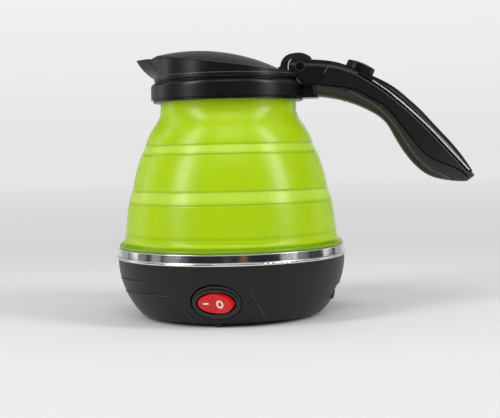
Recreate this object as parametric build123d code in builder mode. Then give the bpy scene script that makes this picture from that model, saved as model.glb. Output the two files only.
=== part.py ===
"""Collapsible travel kettle.

The kettle stands on the floor at z = 0 with its axis on Z. The handle points to +X,
the spout to -X and the switch to -Y. All lengths are millimetres.
"""

import os
from math import cos, radians, sin, tan

from build123d import *

os.makedirs("parts", exist_ok=True)

# Shared fits
running_gap = 0.3  # between pieces that move past each other
seat_gap = 0.1  # round a piece that seats in another
pin_gap = 0.05  # radial, between a pin and its bore
overrun = 40.0  # how far a cutting shape runs past what it cuts

# Base housing
foot_height = 2.0
base_height = 30.3
base_rim_r = 62.3
base_wall = 2.4
toe_inset = 11.0  # from the rim in to the toe
toe_rise = 1.0
toe_width = 1.3
plate_rim_width = 4.4  # underside left outside the base plate
plate_seat_width = 7.6  # ring that the base plate's edge lies against
plate_thickness = 1.8
ring_floor_thickness = 2.2
ring_floor_inset = 3.4  # from the toe to the foot of the inner wall
lip_height = 5.0  # spigot that locates the steel band
lip_inset = 1.8
lip_wall = 1.7
lip_shoulder = 1.6
groove_width = 0.6  # styling lines on the housing's side
groove_depth = 0.3
groove_lean_share = 0.7  # of the width, across and up, from one edge of a line to the other
# Lines of the front view, in shares of the rim's radius and of the base's height
upper_line_shares = [(-1.1, 0.692), (-0.88, 0.688), (-0.75, 0.684), (-0.58, 0.680)]
lower_line_shares = [
    (-1.1, 0.436),
    (-0.85, 0.449),
    (-0.62, 0.467),
    (-0.45, 0.477),
    (-0.385, 0.452),
    (-0.335, 0.371),
    (-0.270, 0.205),
    (-0.205, 0.052),
]
right_line_shares = [(0.276, 0.597), (0.303, 0.462), (0.330, 0.330), (0.362, 0.182), (0.385, 0.052)]

# Base fixings and feet
base_screw_count = 3
base_screw_inset = 3.8  # from the plate's edge to the screws' circle
boss_r = 3.2
boss_height = 11.0
screw_head_r = 2.6
screw_head_height = 1.5
screw_shank_r = 1.3
screw_length = 9.0
foot_count = 3
foot_inset = 2.0  # from the underside's edge to the feet's circle
foot_top_r = 1.9
foot_tip_r = 1.5
foot_plug_r = 1.1
foot_plug_length = 2.0

# Steel pan and its clamp ring
sheet = 0.8
pan_floor_depth = 11.3  # from the flange down to the water side of the floor
pan_wall_inset = 8.7  # from the base's rim
pan_corner_r = 3.0
band_height = 6.0
band_top_inset = 0.6
band_overhang = 0.2  # of the band's foot past the base's rim
band_edge_r = 0.7
bead_r = 0.8
clamp_height = 11.0
clamp_lip_width = 1.7

# Silicone body
silicone = 2.0
silicone_flange_inset = 0.3  # from the band's top edge
silicone_flange_edge = 1.2
silicone_flange_width = 3.0
silicone_foot_rise = 3.7
lower_tier_height = 23.8
fold_height = 6.9
middle_bulge = 0.5
middle_tier_height = 26.0
upper_fold_height = 5.0
shoulder_rise = 8.4
shoulder_lean_deg = 76.0
neck_r = 37.2
neck_rise = 19.0
neck_height = 11.0
# How much of the way from the neck out to the foot each ring of the body lies
lower_tier_top_share = 0.887
fold_share = 0.778
middle_tier_top_share = 0.524
upper_tier_foot_share = 0.415
shoulder_share = 0.245

# Collar
neck_lap = 5.1  # how far the neck reaches up into the collar's ring
collar_ring_height = 9.0
collar_ring_width = 5.0  # outward from the neck
collar_ring_wall = 1.7
collar_edge_r = 2.6
collar_web = 2.5
spigot_wall = 1.6
spigot_depth = 6.0
ridge_width = 1.0
ridge_height = 3.3
ridge_groove = 0.6
ridge_round_share = 0.7
neck_wall_offset = 2.1  # outward from the neck
neck_wall = 2.0
rim_slope_deg = 7.4
clamp_ring_lip_inset = 1.2
clamp_ring_lip_height = 1.5
clamp_ring_height = 7.0

# Spout
spout_reach = 13.1  # of the tip, out from the neck wall
spout_middle_reach = 8.3
spout_keel_reach = 1.7
spout_root_inset = 4.3
spout_overlap = 5.0
spout_half_width = 17.3
spout_height = 12.5
spout_middle_height_share = 0.42
spout_tip_r = 2.0
spout_wall = 1.7
spout_nose_wall = 2.4
spout_lip_drop = 1.2
spout_lip_root_reach = 4.1

# Lid
dome_r = 100.0
dome_height_share = 0.527  # of the lid's edge radius squared over the dome's radius
dome_offset = 5.0  # its top lies this far towards the spout
lid_wall = 1.8
lid_edge_inset = 0.1
lid_nose_reach = 3.7
lid_nose_half_width = 13.0
lid_skirt_depth = 2.2
lid_skirt_wall = 1.8
liner_thickness = 1.2
liner_inset = 2.9  # from the lid's pocket
liner_rim_width = 3.9
liner_dish_depth = 2.4
seal_thickness = 0.9
seal_gap = 0.4
seal_clearance = 0.27  # over the floor of the lid's pocket, at its lowest
skirt_gap = 0.7
lid_screw_count = 3
lid_screw_inset = 7.5  # from the dish's edge
lid_boss_r = 2.8
lid_screw_head_r = 2.1
lid_screw_head_height = 1.0
lid_screw_shank_r = 1.1
lid_screw_length = 5.0

# Hinge
pin_inset = 1.4  # from the collar ring's side
pin_rise = 15.9  # from the collar's bottom edge
pin_r = 1.5
pin_recess_r = 2.4
pin_recess_depth = 1.0
slot_half_width = 6.0
cheek_nose_r = 6.5
slot_r = 9.2
slot_floor_drop = 5.0
slot_quarter_deg = 15.0
hub_turn_deg = 45.0
lid_tail_gap = 0.5
arm_half_width = 5.5
hub_r = 4.4
cheek_nose_top_deg = 141.0
cheek_nose_bottom_deg = 199.0
cheek_drop = 9.7  # from the pin down to the cheeks' underside
# Places of the side view, given from the pin
arm_root_offset = (-14.8, -2.0)
arm_rise_offset = (-11.1, 1.0)
arm_shoulder_offset = (-8.9, 5.6)
arm_peak_offset = (-4.1, 7.6)
arm_crown_offset = (1.2, 7.5)
arm_back_offset = (5.4, 5.3)
arm_belly_offset = (-7.3, -4.3)
cheek_jaw_offset = (-2.2, -6.1)
cheek_heel_offset = (0.3, -9.7)
seam_top_offset = (15.2, 0)
seam_bottom_offset = (10.5, -8.3)
spring_r = 3.0
spring_pocket_r = 3.4
spring_bore_r = 1.8
spring_length = 3.0

# Handle: each station is a share of the reach, a share of the drop, the slope of the
# grip there in degrees, then shares of its depth and of its half width
handle_root_offset = 8.7  # outward from the pin
handle_top_rise = 3.7  # above the pin
handle_reach = 82.5
handle_drop = 67.0
handle_depth = 19.4
handle_half_width = 12.0
handle_corner_share = 0.55
bore_corner_share = 0.25
handle_station_shares = [
    (-0.188, 0.139, -3, 1.020, 1.000),
    (-0.091, 0.140, -4, 1.015, 1.000),
    (0.000, 0.146, -7, 1.000, 1.000),
    (0.139, 0.175, -12, 0.974, 0.983),
    (0.273, 0.236, -23, 0.907, 0.950),
    (0.411, 0.321, -33, 0.892, 0.917),
    (0.514, 0.424, -45, 0.892, 0.900),
    (0.593, 0.545, -51, 1.031, 0.892),
    (0.670, 0.673, -50, 1.124, 0.883),
    (0.744, 0.776, -49, 1.134, 0.867),
    (0.813, 0.857, -52, 1.031, 0.833),
    (0.881, 0.919, -58, 0.804, 0.750),
    (0.939, 0.958, -60, 0.515, 0.583),
    (0.978, 0.976, -55, 0.258, 0.333),
]
handle_wall = 2.4
shell_seam = 0.15
parting_root_slope_deg = -4.0
parting_end_slope_deg = -50.0
# Places of the side view, in shares of the handle's reach and drop
parting_shares = [
    (0, 0.2045),
    (0.1794, 0.2328),
    (0.4206, 0.3716),
    (0.5758, 0.5985),
    (0.7261, 0.8075),
    (0.9588, 0.9701),
]
strip_shares = [(0.0909, -0.0030), (0.5903, 0.4060), (0.9879, 0.9343)]
button_shares = (0.2739, 0.0881)
handle_screw_shares = [(0.0727, 0.2806), (0.1939, 0.3209)]  # the seats under the heads
strip_inset = 1.4
strip_floor = 1.6
strip_lean_deg = 40.0
root_gap = 0.2
flange_thickness = 1.8
flange_drop = 13.0  # from the handle's top
bracket_half_width = 8.0
bracket_rise = 4.0  # above the collar's bottom edge
bracket_sag = 0.6  # below it
bracket_neck_half_width = 5.0
tongue_half_width = 7.0
tongue_length_share = 0.2727  # of the handle's reach
tongue_drop = 1.6
handle_screw_r = 1.2
handle_screw_head_r = 2.2
handle_screw_head_height = 1.2
handle_screw_length = 3.4

# Release button and its latch
button_lean_deg = 23.4
button_r = 7.8
button_height = 3.1
button_crown = 1.1
button_skirt = 1.0
button_edge_r = 0.7
button_wall = 1.2
stem_r = 2.1
stem_length = 9.4
well_wall = 1.2
well_depth = 5.2
well_floor = 1.2
button_spring_r = 3.6
button_spring_wall = 0.8
latch_half_width = 4.6
latch_nose_offset = 8.6  # outward from the pin
latch_nose_drop = 3.1  # from the pin down to the nose's top
latch_nose_height = 3.0
latch_neck_offset = 16.2
latch_web = 2.4
latch_fork_length = 8.5
latch_fork_setback = 1.6  # from the button's axis
latch_fork_drop = 9.9  # from the pin down to the fork's top
latch_fork_thickness = 1.8

# Switch
switch_z = 13.5
switch_face_inset = 6.4  # from the base's rim
switch_tilt_deg = 20.0
bezel_half_width = 13.0
bezel_half_height = 9.8
bezel_thickness = 2.2
bezel_edge_r = 0.7
bezel_collar = 0.7
bezel_collar_width = 1.3
recess_reach = 8.0  # how far the recess's tool runs past the bezel's face
recess_flare = 0.5
well_rim = 2.2
can_width = 17.0
can_height = 9.6
can_depth = 9.0
rocker_half_width = 9.6
rocker_half_height = 5.7
rocker_gap = 0.75
rocker_valley = 0.9
rocker_height = 3.2
rocker_draft = 0.9
rocker_fall_deg = 9.0
rocker_pivot_depth = 1.1
rocker_pivot_r = 0.8
rocker_pivot_reach = 0.8
rocker_foot = 0.4

# Power inlet
inlet_half_width = 12.0
inlet_rise = 8.6  # from the floor
inlet_height = 7.8
inlet_corner_r = 3.0
inlet_face_inset = 6.1  # from the base's rim
inlet_depth = 14.2
inlet_well_wall = 1.6
inlet_well_depth = 11.0
inlet_pin_r = 1.2
inlet_pin_spread = 6.0
inlet_pin_setback = 3.7
inlet_pin_tail = 1.5
earth_blade_width = 1.0
earth_blade_height = 3.6

# Heating parts
spreader_inset = 7.6  # from the pan's wall
spreader_thickness = 2.0
element_inset = 10.0  # from the spreader's edge
element_tube_r = 3.1
element_gap_deg = 40.0
element_pin_r = 1.2
element_pin_length = 7.0
element_pin_turn_deg = 3.0
thermostat_flange_r = 9.0
thermostat_flange = 1.6
thermostat_can_r = 7.2
thermostat_can_depth = 6.4
thermostat_blade_spread = 4.0
thermostat_blade_width = 3.2
thermostat_blade_thickness = 0.8
thermostat_blade_length = 4.5
fuse_r = 2.0
fuse_length = 13.0
fuse_lead_r = 0.5
fuse_lead_length = 5.0

# Radii and places worked out from the sizes above
toe_r = base_rim_r - toe_inset
underside_r = toe_r - toe_width
plate_recess_r = underside_r - plate_rim_width
underside_opening_r = plate_recess_r - plate_seat_width
lip_r = base_rim_r - lip_inset
base_screw_circle_r = plate_recess_r - base_screw_inset
foot_circle_r = underside_r - foot_inset
pan_wall_r = base_rim_r - pan_wall_inset
band_top_r = base_rim_r - band_top_inset
band_bottom_r = base_rim_r + band_overhang
silicone_flange_r = band_top_r - silicone_flange_inset
silicone_foot_r = silicone_flange_r - silicone_flange_width
body_taper = silicone_foot_r - neck_r
lower_tier_top_r = neck_r + lower_tier_top_share * body_taper
fold_r = neck_r + fold_share * body_taper
middle_tier_top_r = neck_r + middle_tier_top_share * body_taper
upper_tier_foot_r = neck_r + upper_tier_foot_share * body_taper
shoulder_r = neck_r + shoulder_share * body_taper
collar_ring_r = neck_r + collar_ring_width
neck_wall_r = neck_r + neck_wall_offset
ridge_r = neck_wall_r + ridge_width
clamp_ring_lip_r = collar_ring_r - clamp_ring_lip_inset
spigot_r = neck_r - silicone - seat_gap
mouth_r = spigot_r - spigot_wall
pocket_r = neck_wall_r - neck_wall
spout_root_x = neck_wall_r - spout_root_inset
spout_inner_root_x = spout_root_x - spout_overlap
lid_edge_r = neck_wall_r - lid_edge_inset
liner_r = pocket_r - liner_inset
liner_dish_r = liner_r - liner_rim_width
lid_screw_circle_r = liner_dish_r - lid_screw_inset
skirt_r = pocket_r - skirt_gap
pin_x = collar_ring_r - pin_inset
handle_root_x = pin_x + handle_root_offset
spreader_r = pan_wall_r - spreader_inset
element_circle_r = spreader_r - element_inset
inlet_face_x = base_rim_r - inlet_face_inset
inlet_back_x = inlet_face_x - inlet_depth

# Heights worked out from the sizes above
base_top_z = foot_height + base_height
plate_top_z = foot_height + plate_thickness
ring_floor_z = plate_top_z + ring_floor_thickness
flange_z = base_top_z + band_height
pan_water_z = flange_z - pan_floor_depth
pan_under_z = pan_water_z - sheet
lower_tier_z = flange_z + lower_tier_height
fold_z = lower_tier_z + fold_height
middle_top_z = lower_tier_z + middle_tier_height
upper_tier_z = middle_top_z + upper_fold_height
shoulder_z = upper_tier_z + shoulder_rise
neck_z = upper_tier_z + neck_rise
neck_top_z = neck_z + neck_height
collar_bottom_z = neck_top_z - neck_lap
collar_top_z = collar_bottom_z + collar_ring_height
ridge_top_z = collar_top_z + ridge_height
seal_drop = (lid_skirt_depth + seal_thickness) * cos(radians(rim_slope_deg))
seal_slant = (pocket_r - seal_gap) * sin(radians(rim_slope_deg))
rim_z = collar_top_z + seal_clearance + seal_drop + seal_slant
pin_z = collar_bottom_z + pin_rise
bracket_top_z = collar_bottom_z + bracket_rise
bracket_bottom_z = collar_bottom_z - bracket_sag
cheek_bottom_z = pin_z - cheek_drop
handle_top_z = pin_z + handle_top_rise
flange_top_z = handle_top_z - flange_drop
latch_nose_top_z = pin_z - latch_nose_drop
latch_nose_bottom_z = latch_nose_top_z - latch_nose_height
latch_fork_top_z = pin_z - latch_fork_drop
latch_fork_bottom_z = latch_fork_top_z - latch_fork_thickness
spreader_bottom_z = pan_under_z - spreader_thickness
element_z = spreader_bottom_z - element_tube_r
inlet_z = inlet_rise + inlet_height / 2


def from_pin(offset):
    """A place of the side view, given from the hinge pin."""
    return (pin_x + offset[0], pin_z + offset[1])


def on_handle(shares):
    """A place of the side view, given in shares of the handle's reach and drop."""
    return (handle_root_x + shares[0] * handle_reach, handle_top_z - shares[1] * handle_drop)


seam_bottom_x, seam_bottom_z = from_pin(seam_bottom_offset)
seam_top_x, seam_top_z = from_pin(seam_top_offset)
button_x, button_z = on_handle(button_shares)
handle_screw_places = [on_handle(shares) for shares in handle_screw_shares]

# Planes that several pieces share
rim_plane = Plane(
    origin=(0, 0, rim_z),
    x_dir=(cos(radians(rim_slope_deg)), 0, -sin(radians(rim_slope_deg))),
    z_dir=(sin(radians(rim_slope_deg)), 0, cos(radians(rim_slope_deg))),
)
dome_height = dome_height_share * lid_edge_r**2 / dome_r
dome_centre = rim_plane.from_local_coords((-dome_offset, 0, dome_height - dome_r))
pin_plane = Plane(origin=(pin_x, 0, pin_z), x_dir=(1, 0, 0), z_dir=(0, -1, 0))
switch_plane = Plane(
    origin=(0, switch_face_inset - base_rim_r, switch_z),
    x_dir=(1, 0, 0),
    z_dir=(0, -cos(radians(switch_tilt_deg)), -sin(radians(switch_tilt_deg))),
)
button_plane = Plane(
    origin=(button_x, 0, button_z),
    x_dir=(cos(radians(button_lean_deg)), 0, -sin(radians(button_lean_deg))),
    z_dir=(sin(radians(button_lean_deg)), 0, cos(radians(button_lean_deg))),
)
button_side = Plane(origin=button_plane.origin, x_dir=button_plane.x_dir, z_dir=(0, -1, 0))
button_axis = Axis(button_plane.origin, button_plane.z_dir)


def finish(piece, name):
    """Name a finished piece and write it to its own file."""
    piece.part.label = name
    export_step(piece.part, f"parts/{name}.step")


# Base housing: a bulging tub with an open top and a rim under its floor
with BuildPart() as base_cavity:
    with BuildSketch(Plane.XZ):
        with BuildLine():
            shoulder = (base_rim_r - base_wall, base_top_z - lip_shoulder)
            heel = (toe_r - ring_floor_inset + base_wall, ring_floor_z)
            Line((0, ring_floor_z), heel)
            TangentArc(shoulder, heel, tangent=(0, -1))
            Line(shoulder, (lip_r - lip_wall, base_top_z))
            Line((lip_r - lip_wall, base_top_z), (lip_r - lip_wall, base_top_z + overrun))
            Line((lip_r - lip_wall, base_top_z + overrun), (0, base_top_z + overrun))
            Line((0, base_top_z + overrun), (0, ring_floor_z))
        make_face()
    revolve(axis=Axis.Z)
    # Screw bosses stand on the ring floor
    with BuildSketch(Plane.XY.offset(ring_floor_z)):
        with PolarLocations(base_screw_circle_r, base_screw_count, start_angle=90):
            Circle(boss_r)
    extrude(amount=boss_height, mode=Mode.SUBTRACT)
    # Oval well behind the switch
    with BuildSketch(switch_plane.offset(-bezel_thickness - well_rim)):
        Ellipse(bezel_half_width + well_rim, bezel_half_height + well_rim)
    extrude(amount=overrun, mode=Mode.SUBTRACT)

# Styling lines: a skin of the housing's side, kept only where the lines run
with BuildPart() as groove_cutter:
    with BuildSketch(Plane.XZ):
        with BuildLine():
            skin_rim = (base_rim_r - groove_depth, base_top_z)
            skin_toe = (toe_r - groove_depth, foot_height + toe_rise)
            TangentArc(skin_rim, skin_toe, tangent=(0, -1))
            Polyline(
                skin_toe,
                (base_rim_r + overrun, foot_height + toe_rise),
                (base_rim_r + overrun, base_top_z),
                skin_rim,
            )
        make_face()
    revolve(axis=Axis.Z)
    lean = groove_width * groove_lean_share
    with BuildSketch(Plane.XZ):
        for line_shares in (upper_line_shares, lower_line_shares, right_line_shares):
            points = [
                (x * base_rim_r, foot_height + z * base_height) for x, z in line_shares
            ]
            across = [(x + lean, z + lean) for x, z in points]
            with BuildLine():
                Spline(*points)
                Spline(*across)
                Line(points[0], across[0])
                Line(points[-1], across[-1])
            make_face()
    extrude(amount=base_rim_r + overrun, both=True, mode=Mode.INTERSECT)

with BuildPart() as base_housing:
    with BuildSketch(Plane.XZ):
        with BuildLine():
            rim = (base_rim_r, base_top_z)
            toe = (toe_r, foot_height + toe_rise)
            side = TangentArc(rim, toe, tangent=(0, -1))
            TangentArc(toe, (underside_r, foot_height), tangent=side % 1)
            Line((underside_r, foot_height), (plate_recess_r, foot_height))
            Line((plate_recess_r, foot_height), (plate_recess_r, plate_top_z))
            Line((plate_recess_r, plate_top_z), (underside_opening_r, plate_top_z))
            Line((underside_opening_r, plate_top_z), (underside_opening_r, base_top_z + lip_height))
            Line((underside_opening_r, base_top_z + lip_height), (lip_r, base_top_z + lip_height))
            Line((lip_r, base_top_z + lip_height), (lip_r, base_top_z))
            Line((lip_r, base_top_z), rim)
        make_face()
    revolve(axis=Axis.Z)
    add(base_cavity.part, mode=Mode.SUBTRACT)
    # Recess for the bezel, whose ceiling runs out level, and the hole for the can behind it
    recess_rise = (bezel_thickness + recess_reach) * tan(radians(switch_tilt_deg)) / 2
    with BuildSketch(switch_plane.offset(-bezel_thickness)):
        Ellipse(bezel_half_width + seat_gap, bezel_half_height + seat_gap)
    with BuildSketch(switch_plane.offset(recess_reach)):
        with Locations((0, recess_rise)):
            Ellipse(bezel_half_width + recess_flare, bezel_half_height + seat_gap + recess_rise)
    loft(mode=Mode.SUBTRACT)
    with BuildSketch(switch_plane):
        Rectangle(can_width + 2 * seat_gap, can_height + 2 * seat_gap)
    extrude(amount=-can_depth, mode=Mode.SUBTRACT)
    # Opening for the power inlet
    with BuildSketch(Plane.YZ.offset(underside_opening_r)):
        with Locations((0, inlet_z)):
            RectangleRounded(2 * inlet_half_width, inlet_height, inlet_corner_r)
    extrude(amount=overrun, mode=Mode.SUBTRACT)
    # Screw holes run up through the ring floor into the bosses
    with BuildSketch(Plane.XY.offset(plate_top_z)):
        with PolarLocations(base_screw_circle_r, base_screw_count, start_angle=90):
            Circle(screw_shank_r + seat_gap)
    extrude(amount=screw_length, mode=Mode.SUBTRACT)
    # Sockets for the feet
    with BuildSketch(Plane.XY.offset(foot_height)):
        with PolarLocations(foot_circle_r, foot_count, start_angle=-90):
            Circle(foot_plug_r + pin_gap)
    extrude(amount=foot_plug_length + seat_gap, mode=Mode.SUBTRACT)
    add(groove_cutter.part, mode=Mode.SUBTRACT)
finish(base_housing, "base_housing")

with BuildPart() as base_plate:
    with BuildSketch(Plane.XY.offset(foot_height)):
        Circle(plate_recess_r - seat_gap)
    extrude(amount=plate_thickness)
    with BuildSketch(Plane.XY.offset(foot_height)):
        with PolarLocations(base_screw_circle_r, base_screw_count, start_angle=90):
            Circle(screw_shank_r + seat_gap)
    extrude(amount=plate_thickness, mode=Mode.SUBTRACT)
    with BuildSketch(Plane.XY.offset(foot_height)):
        with PolarLocations(base_screw_circle_r, base_screw_count, start_angle=90):
            Circle(screw_head_r + seat_gap)
    extrude(amount=screw_head_height - seat_gap, mode=Mode.SUBTRACT)
finish(base_plate, "base_plate")

with BuildPart() as base_screws:
    with BuildSketch(Plane.XY.offset(foot_height)):
        with PolarLocations(base_screw_circle_r, base_screw_count, start_angle=90):
            Circle(screw_head_r)
    extrude(amount=screw_head_height - seat_gap)
    with BuildSketch(Plane.XY.offset(foot_height)):
        with PolarLocations(base_screw_circle_r, base_screw_count, start_angle=90):
            Circle(screw_shank_r)
    extrude(amount=screw_length)
finish(base_screws, "base_screws")

with BuildPart() as feet:
    with PolarLocations(foot_circle_r, foot_count, start_angle=-90):
        Cone(foot_tip_r, foot_top_r, foot_height, align=(Align.CENTER, Align.CENTER, Align.MIN))
    with BuildSketch(Plane.XY.offset(foot_height)):
        with PolarLocations(foot_circle_r, foot_count, start_angle=-90):
            Circle(foot_plug_r)
    extrude(amount=foot_plug_length)
finish(feet, "feet")

# Steel pan: floor, wall, flange and the bright band that hangs outside
with BuildPart() as steel_pan:
    with BuildSketch(Plane.XZ):
        with BuildLine():
            Polyline(
                (0, pan_water_z),
                (pan_wall_r, pan_water_z),
                (pan_wall_r, flange_z),
                (band_top_r, flange_z),
                (band_bottom_r, base_top_z + bead_r),
                (band_bottom_r - sheet, base_top_z + bead_r),
                (band_top_r - sheet, flange_z - sheet),
                (pan_wall_r + sheet, flange_z - sheet),
                (pan_wall_r + sheet, pan_under_z),
                (0, pan_under_z),
                close=True,
            )
        make_face()
        fillet(vertices().sort_by_distance((pan_wall_r, pan_water_z))[0], pan_corner_r - sheet)
        fillet(vertices().sort_by_distance((pan_wall_r + sheet, pan_under_z))[0], pan_corner_r)
        fillet(vertices().sort_by_distance((band_top_r, flange_z))[0], band_edge_r)
        with Locations((band_bottom_r - sheet / 2, base_top_z + bead_r)):
            Circle(bead_r)
    revolve(axis=Axis.Z)
finish(steel_pan, "steel_pan")

with BuildPart() as lower_clamp_ring:
    lip_z = flange_z + silicone
    with BuildSketch(Plane.XZ):
        with BuildLine():
            Polyline(
                (pan_wall_r - seat_gap, lip_z + sheet - clamp_height),
                (pan_wall_r - seat_gap, lip_z),
                (pan_wall_r + clamp_lip_width, lip_z),
                (pan_wall_r + clamp_lip_width, lip_z + sheet),
                (pan_wall_r - seat_gap - sheet, lip_z + sheet),
                (pan_wall_r - seat_gap - sheet, lip_z + sheet - clamp_height),
                close=True,
            )
        make_face()
    revolve(axis=Axis.Z)
finish(lower_clamp_ring, "lower_clamp_ring")

# Silicone body: three tiers, each a wall of one thickness
with BuildPart() as silicone_lower_tier:
    with BuildSketch(Plane.XZ):
        with BuildLine():
            Polyline(
                (pan_wall_r + seat_gap, flange_z),
                (silicone_flange_r, flange_z),
                (silicone_flange_r, flange_z + silicone_flange_edge),
                (silicone_foot_r, flange_z + silicone_foot_rise),
                (lower_tier_top_r, lower_tier_z),
                (lower_tier_top_r - silicone, lower_tier_z),
                (silicone_foot_r - silicone, flange_z + silicone_foot_rise),
                (silicone_foot_r - silicone, flange_z + silicone),
                (pan_wall_r + seat_gap, flange_z + silicone),
                close=True,
            )
        make_face()
    revolve(axis=Axis.Z)
finish(silicone_lower_tier, "silicone_lower_tier")

with BuildPart() as silicone_middle_tier:
    with BuildSketch(Plane.XZ):
        with BuildLine():
            bulge_r = (fold_r + middle_tier_top_r) / 2 + middle_bulge
            bulge_z = (fold_z + middle_top_z) / 2
            Line((lower_tier_top_r, lower_tier_z), (fold_r, fold_z))
            ThreePointArc((fold_r, fold_z), (bulge_r, bulge_z), (middle_tier_top_r, middle_top_z))
            Line((middle_tier_top_r, middle_top_z), (upper_tier_foot_r, upper_tier_z))
            Line((upper_tier_foot_r, upper_tier_z), (upper_tier_foot_r - silicone, upper_tier_z))
            Line(
                (upper_tier_foot_r - silicone, upper_tier_z),
                (middle_tier_top_r - silicone, middle_top_z),
            )
            ThreePointArc(
                (middle_tier_top_r - silicone, middle_top_z),
                (bulge_r - silicone, bulge_z),
                (fold_r - silicone, fold_z),
            )
            Line((fold_r - silicone, fold_z), (lower_tier_top_r - silicone, lower_tier_z))
            Line((lower_tier_top_r - silicone, lower_tier_z), (lower_tier_top_r, lower_tier_z))
        make_face()
    revolve(axis=Axis.Z)
finish(silicone_middle_tier, "silicone_middle_tier")

with BuildPart() as silicone_upper_tier:
    with BuildSketch(Plane.XZ):
        with BuildLine():
            outer_foot = (upper_tier_foot_r, upper_tier_z)
            outer_shoulder = (shoulder_r, shoulder_z)
            outer_neck = (neck_r, neck_z)
            inner_foot = (upper_tier_foot_r - silicone, upper_tier_z)
            inner_shoulder = (shoulder_r - silicone, shoulder_z)
            inner_neck = (neck_r - silicone, neck_z)
            lean = (-cos(radians(shoulder_lean_deg)), sin(radians(shoulder_lean_deg)))
            TangentArc(outer_foot, outer_shoulder, tangent=lean)
            TangentArc(outer_neck, outer_shoulder, tangent=(0, -1))
            Line(outer_neck, (neck_r, neck_top_z))
            Line((neck_r, neck_top_z), (neck_r - silicone, neck_top_z))
            Line((neck_r - silicone, neck_top_z), inner_neck)
            TangentArc(inner_neck, inner_shoulder, tangent=(0, -1))
            TangentArc(inner_foot, inner_shoulder, tangent=lean)
            Line(inner_foot, outer_foot)
        make_face()
    revolve(axis=Axis.Z)
finish(silicone_upper_tier, "silicone_upper_tier")

with BuildPart() as neck_clamp_ring:
    clamp_bottom_z = collar_bottom_z - clamp_ring_lip_height
    with BuildSketch(Plane.XZ):
        with BuildLine():
            clamp_outer_r = collar_ring_r - collar_ring_wall - seat_gap
            Polyline(
                (neck_r + seat_gap, clamp_bottom_z),
                (clamp_ring_lip_r, clamp_bottom_z),
                (clamp_ring_lip_r, collar_bottom_z - seat_gap),
                (clamp_outer_r, collar_bottom_z - seat_gap),
                (clamp_outer_r, clamp_bottom_z + clamp_ring_height),
                (neck_r + seat_gap, clamp_bottom_z + clamp_ring_height),
                close=True,
            )
        make_face()
    revolve(axis=Axis.Z)
finish(neck_clamp_ring, "neck_clamp_ring")

# Handle regions seen from the side, and the lofted outer form
seam_head_z = handle_top_z + overrun
seam_run = (seam_head_z - seam_bottom_z) / (seam_top_z - seam_bottom_z)
seam_head_x = seam_bottom_x + seam_run * (seam_top_x - seam_bottom_x)
under_handle_z = handle_top_z - handle_drop - overrun
parting_points = [on_handle(shares) for shares in parting_shares]
parting_ends = [
    (cos(radians(parting_root_slope_deg)), sin(radians(parting_root_slope_deg))),
    (cos(radians(parting_end_slope_deg)), sin(radians(parting_end_slope_deg))),
]


def below_parting(drop):
    """The side region below the parting line, with the line lowered by a drop."""
    lowered = [(x, z - drop) for x, z in parting_points]
    last_x, last_z = lowered[-1]
    with BuildSketch(Plane.XZ) as region:
        with BuildLine():
            Spline(*lowered, tangents=parting_ends)
            Polyline(
                lowered[-1],
                (last_x + overrun, last_z - overrun),
                (last_x + overrun, under_handle_z - overrun),
                (handle_root_x - overrun, under_handle_z - overrun),
                (handle_root_x - overrun, lowered[0][1]),
                lowered[0],
            )
        make_face()
    return region.sketch


def left_of_seam(shift):
    """The side region on the lid's side of the slanted seam, moved by a shift."""
    with BuildSketch(Plane.XZ) as region:
        with BuildLine():
            Polyline(
                (seam_bottom_x + shift, under_handle_z),
                (seam_bottom_x + shift, seam_bottom_z),
                (seam_head_x + shift, seam_head_z),
                (handle_root_x - overrun, seam_head_z),
                (handle_root_x - overrun, under_handle_z),
                close=True,
            )
        make_face()
    return region.sketch


def handle_loft(side_inset, depth_inset, corner_share, stations):
    """The grip, lofted through its stations and drawn in by the insets."""
    with BuildPart() as grip:
        for reach, drop, slope, depth, width in stations:
            station_plane = Plane(
                origin=(handle_root_x + reach * handle_reach, 0, handle_top_z - drop * handle_drop),
                x_dir=(0, 1, 0),
                z_dir=(cos(radians(slope)), 0, sin(radians(slope))),
            )
            across = 2 * (width * handle_half_width - side_inset)
            down = depth * handle_depth - 2 * depth_inset
            with BuildSketch(station_plane):
                RectangleRounded(across, down, corner_share * min(across, down) / 2)
        loft()
    return grip.part


def above_strip_line(drop):
    """The side region above the line that the back strip sits on, lowered by a drop."""
    (start_x, start_z), middle, (end_x, end_z) = [
        (x - drop * sin(radians(strip_lean_deg)), z - drop * cos(radians(strip_lean_deg)))
        for x, z in [on_handle(shares) for shares in strip_shares]
    ]
    with BuildSketch(Plane.XZ) as region:
        with BuildLine():
            ThreePointArc((start_x, start_z), middle, (end_x, end_z))
            Polyline(
                (end_x, end_z),
                (end_x + overrun, end_z),
                (end_x + overrun, start_z + overrun),
                (start_x, start_z + overrun),
                (start_x, start_z),
            )
        make_face()
    return region.sketch


handle_form = handle_loft(0, 0, handle_corner_share, handle_station_shares)
handle_bore = handle_loft(handle_wall, handle_wall, bore_corner_share, handle_station_shares[:-3])

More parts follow.
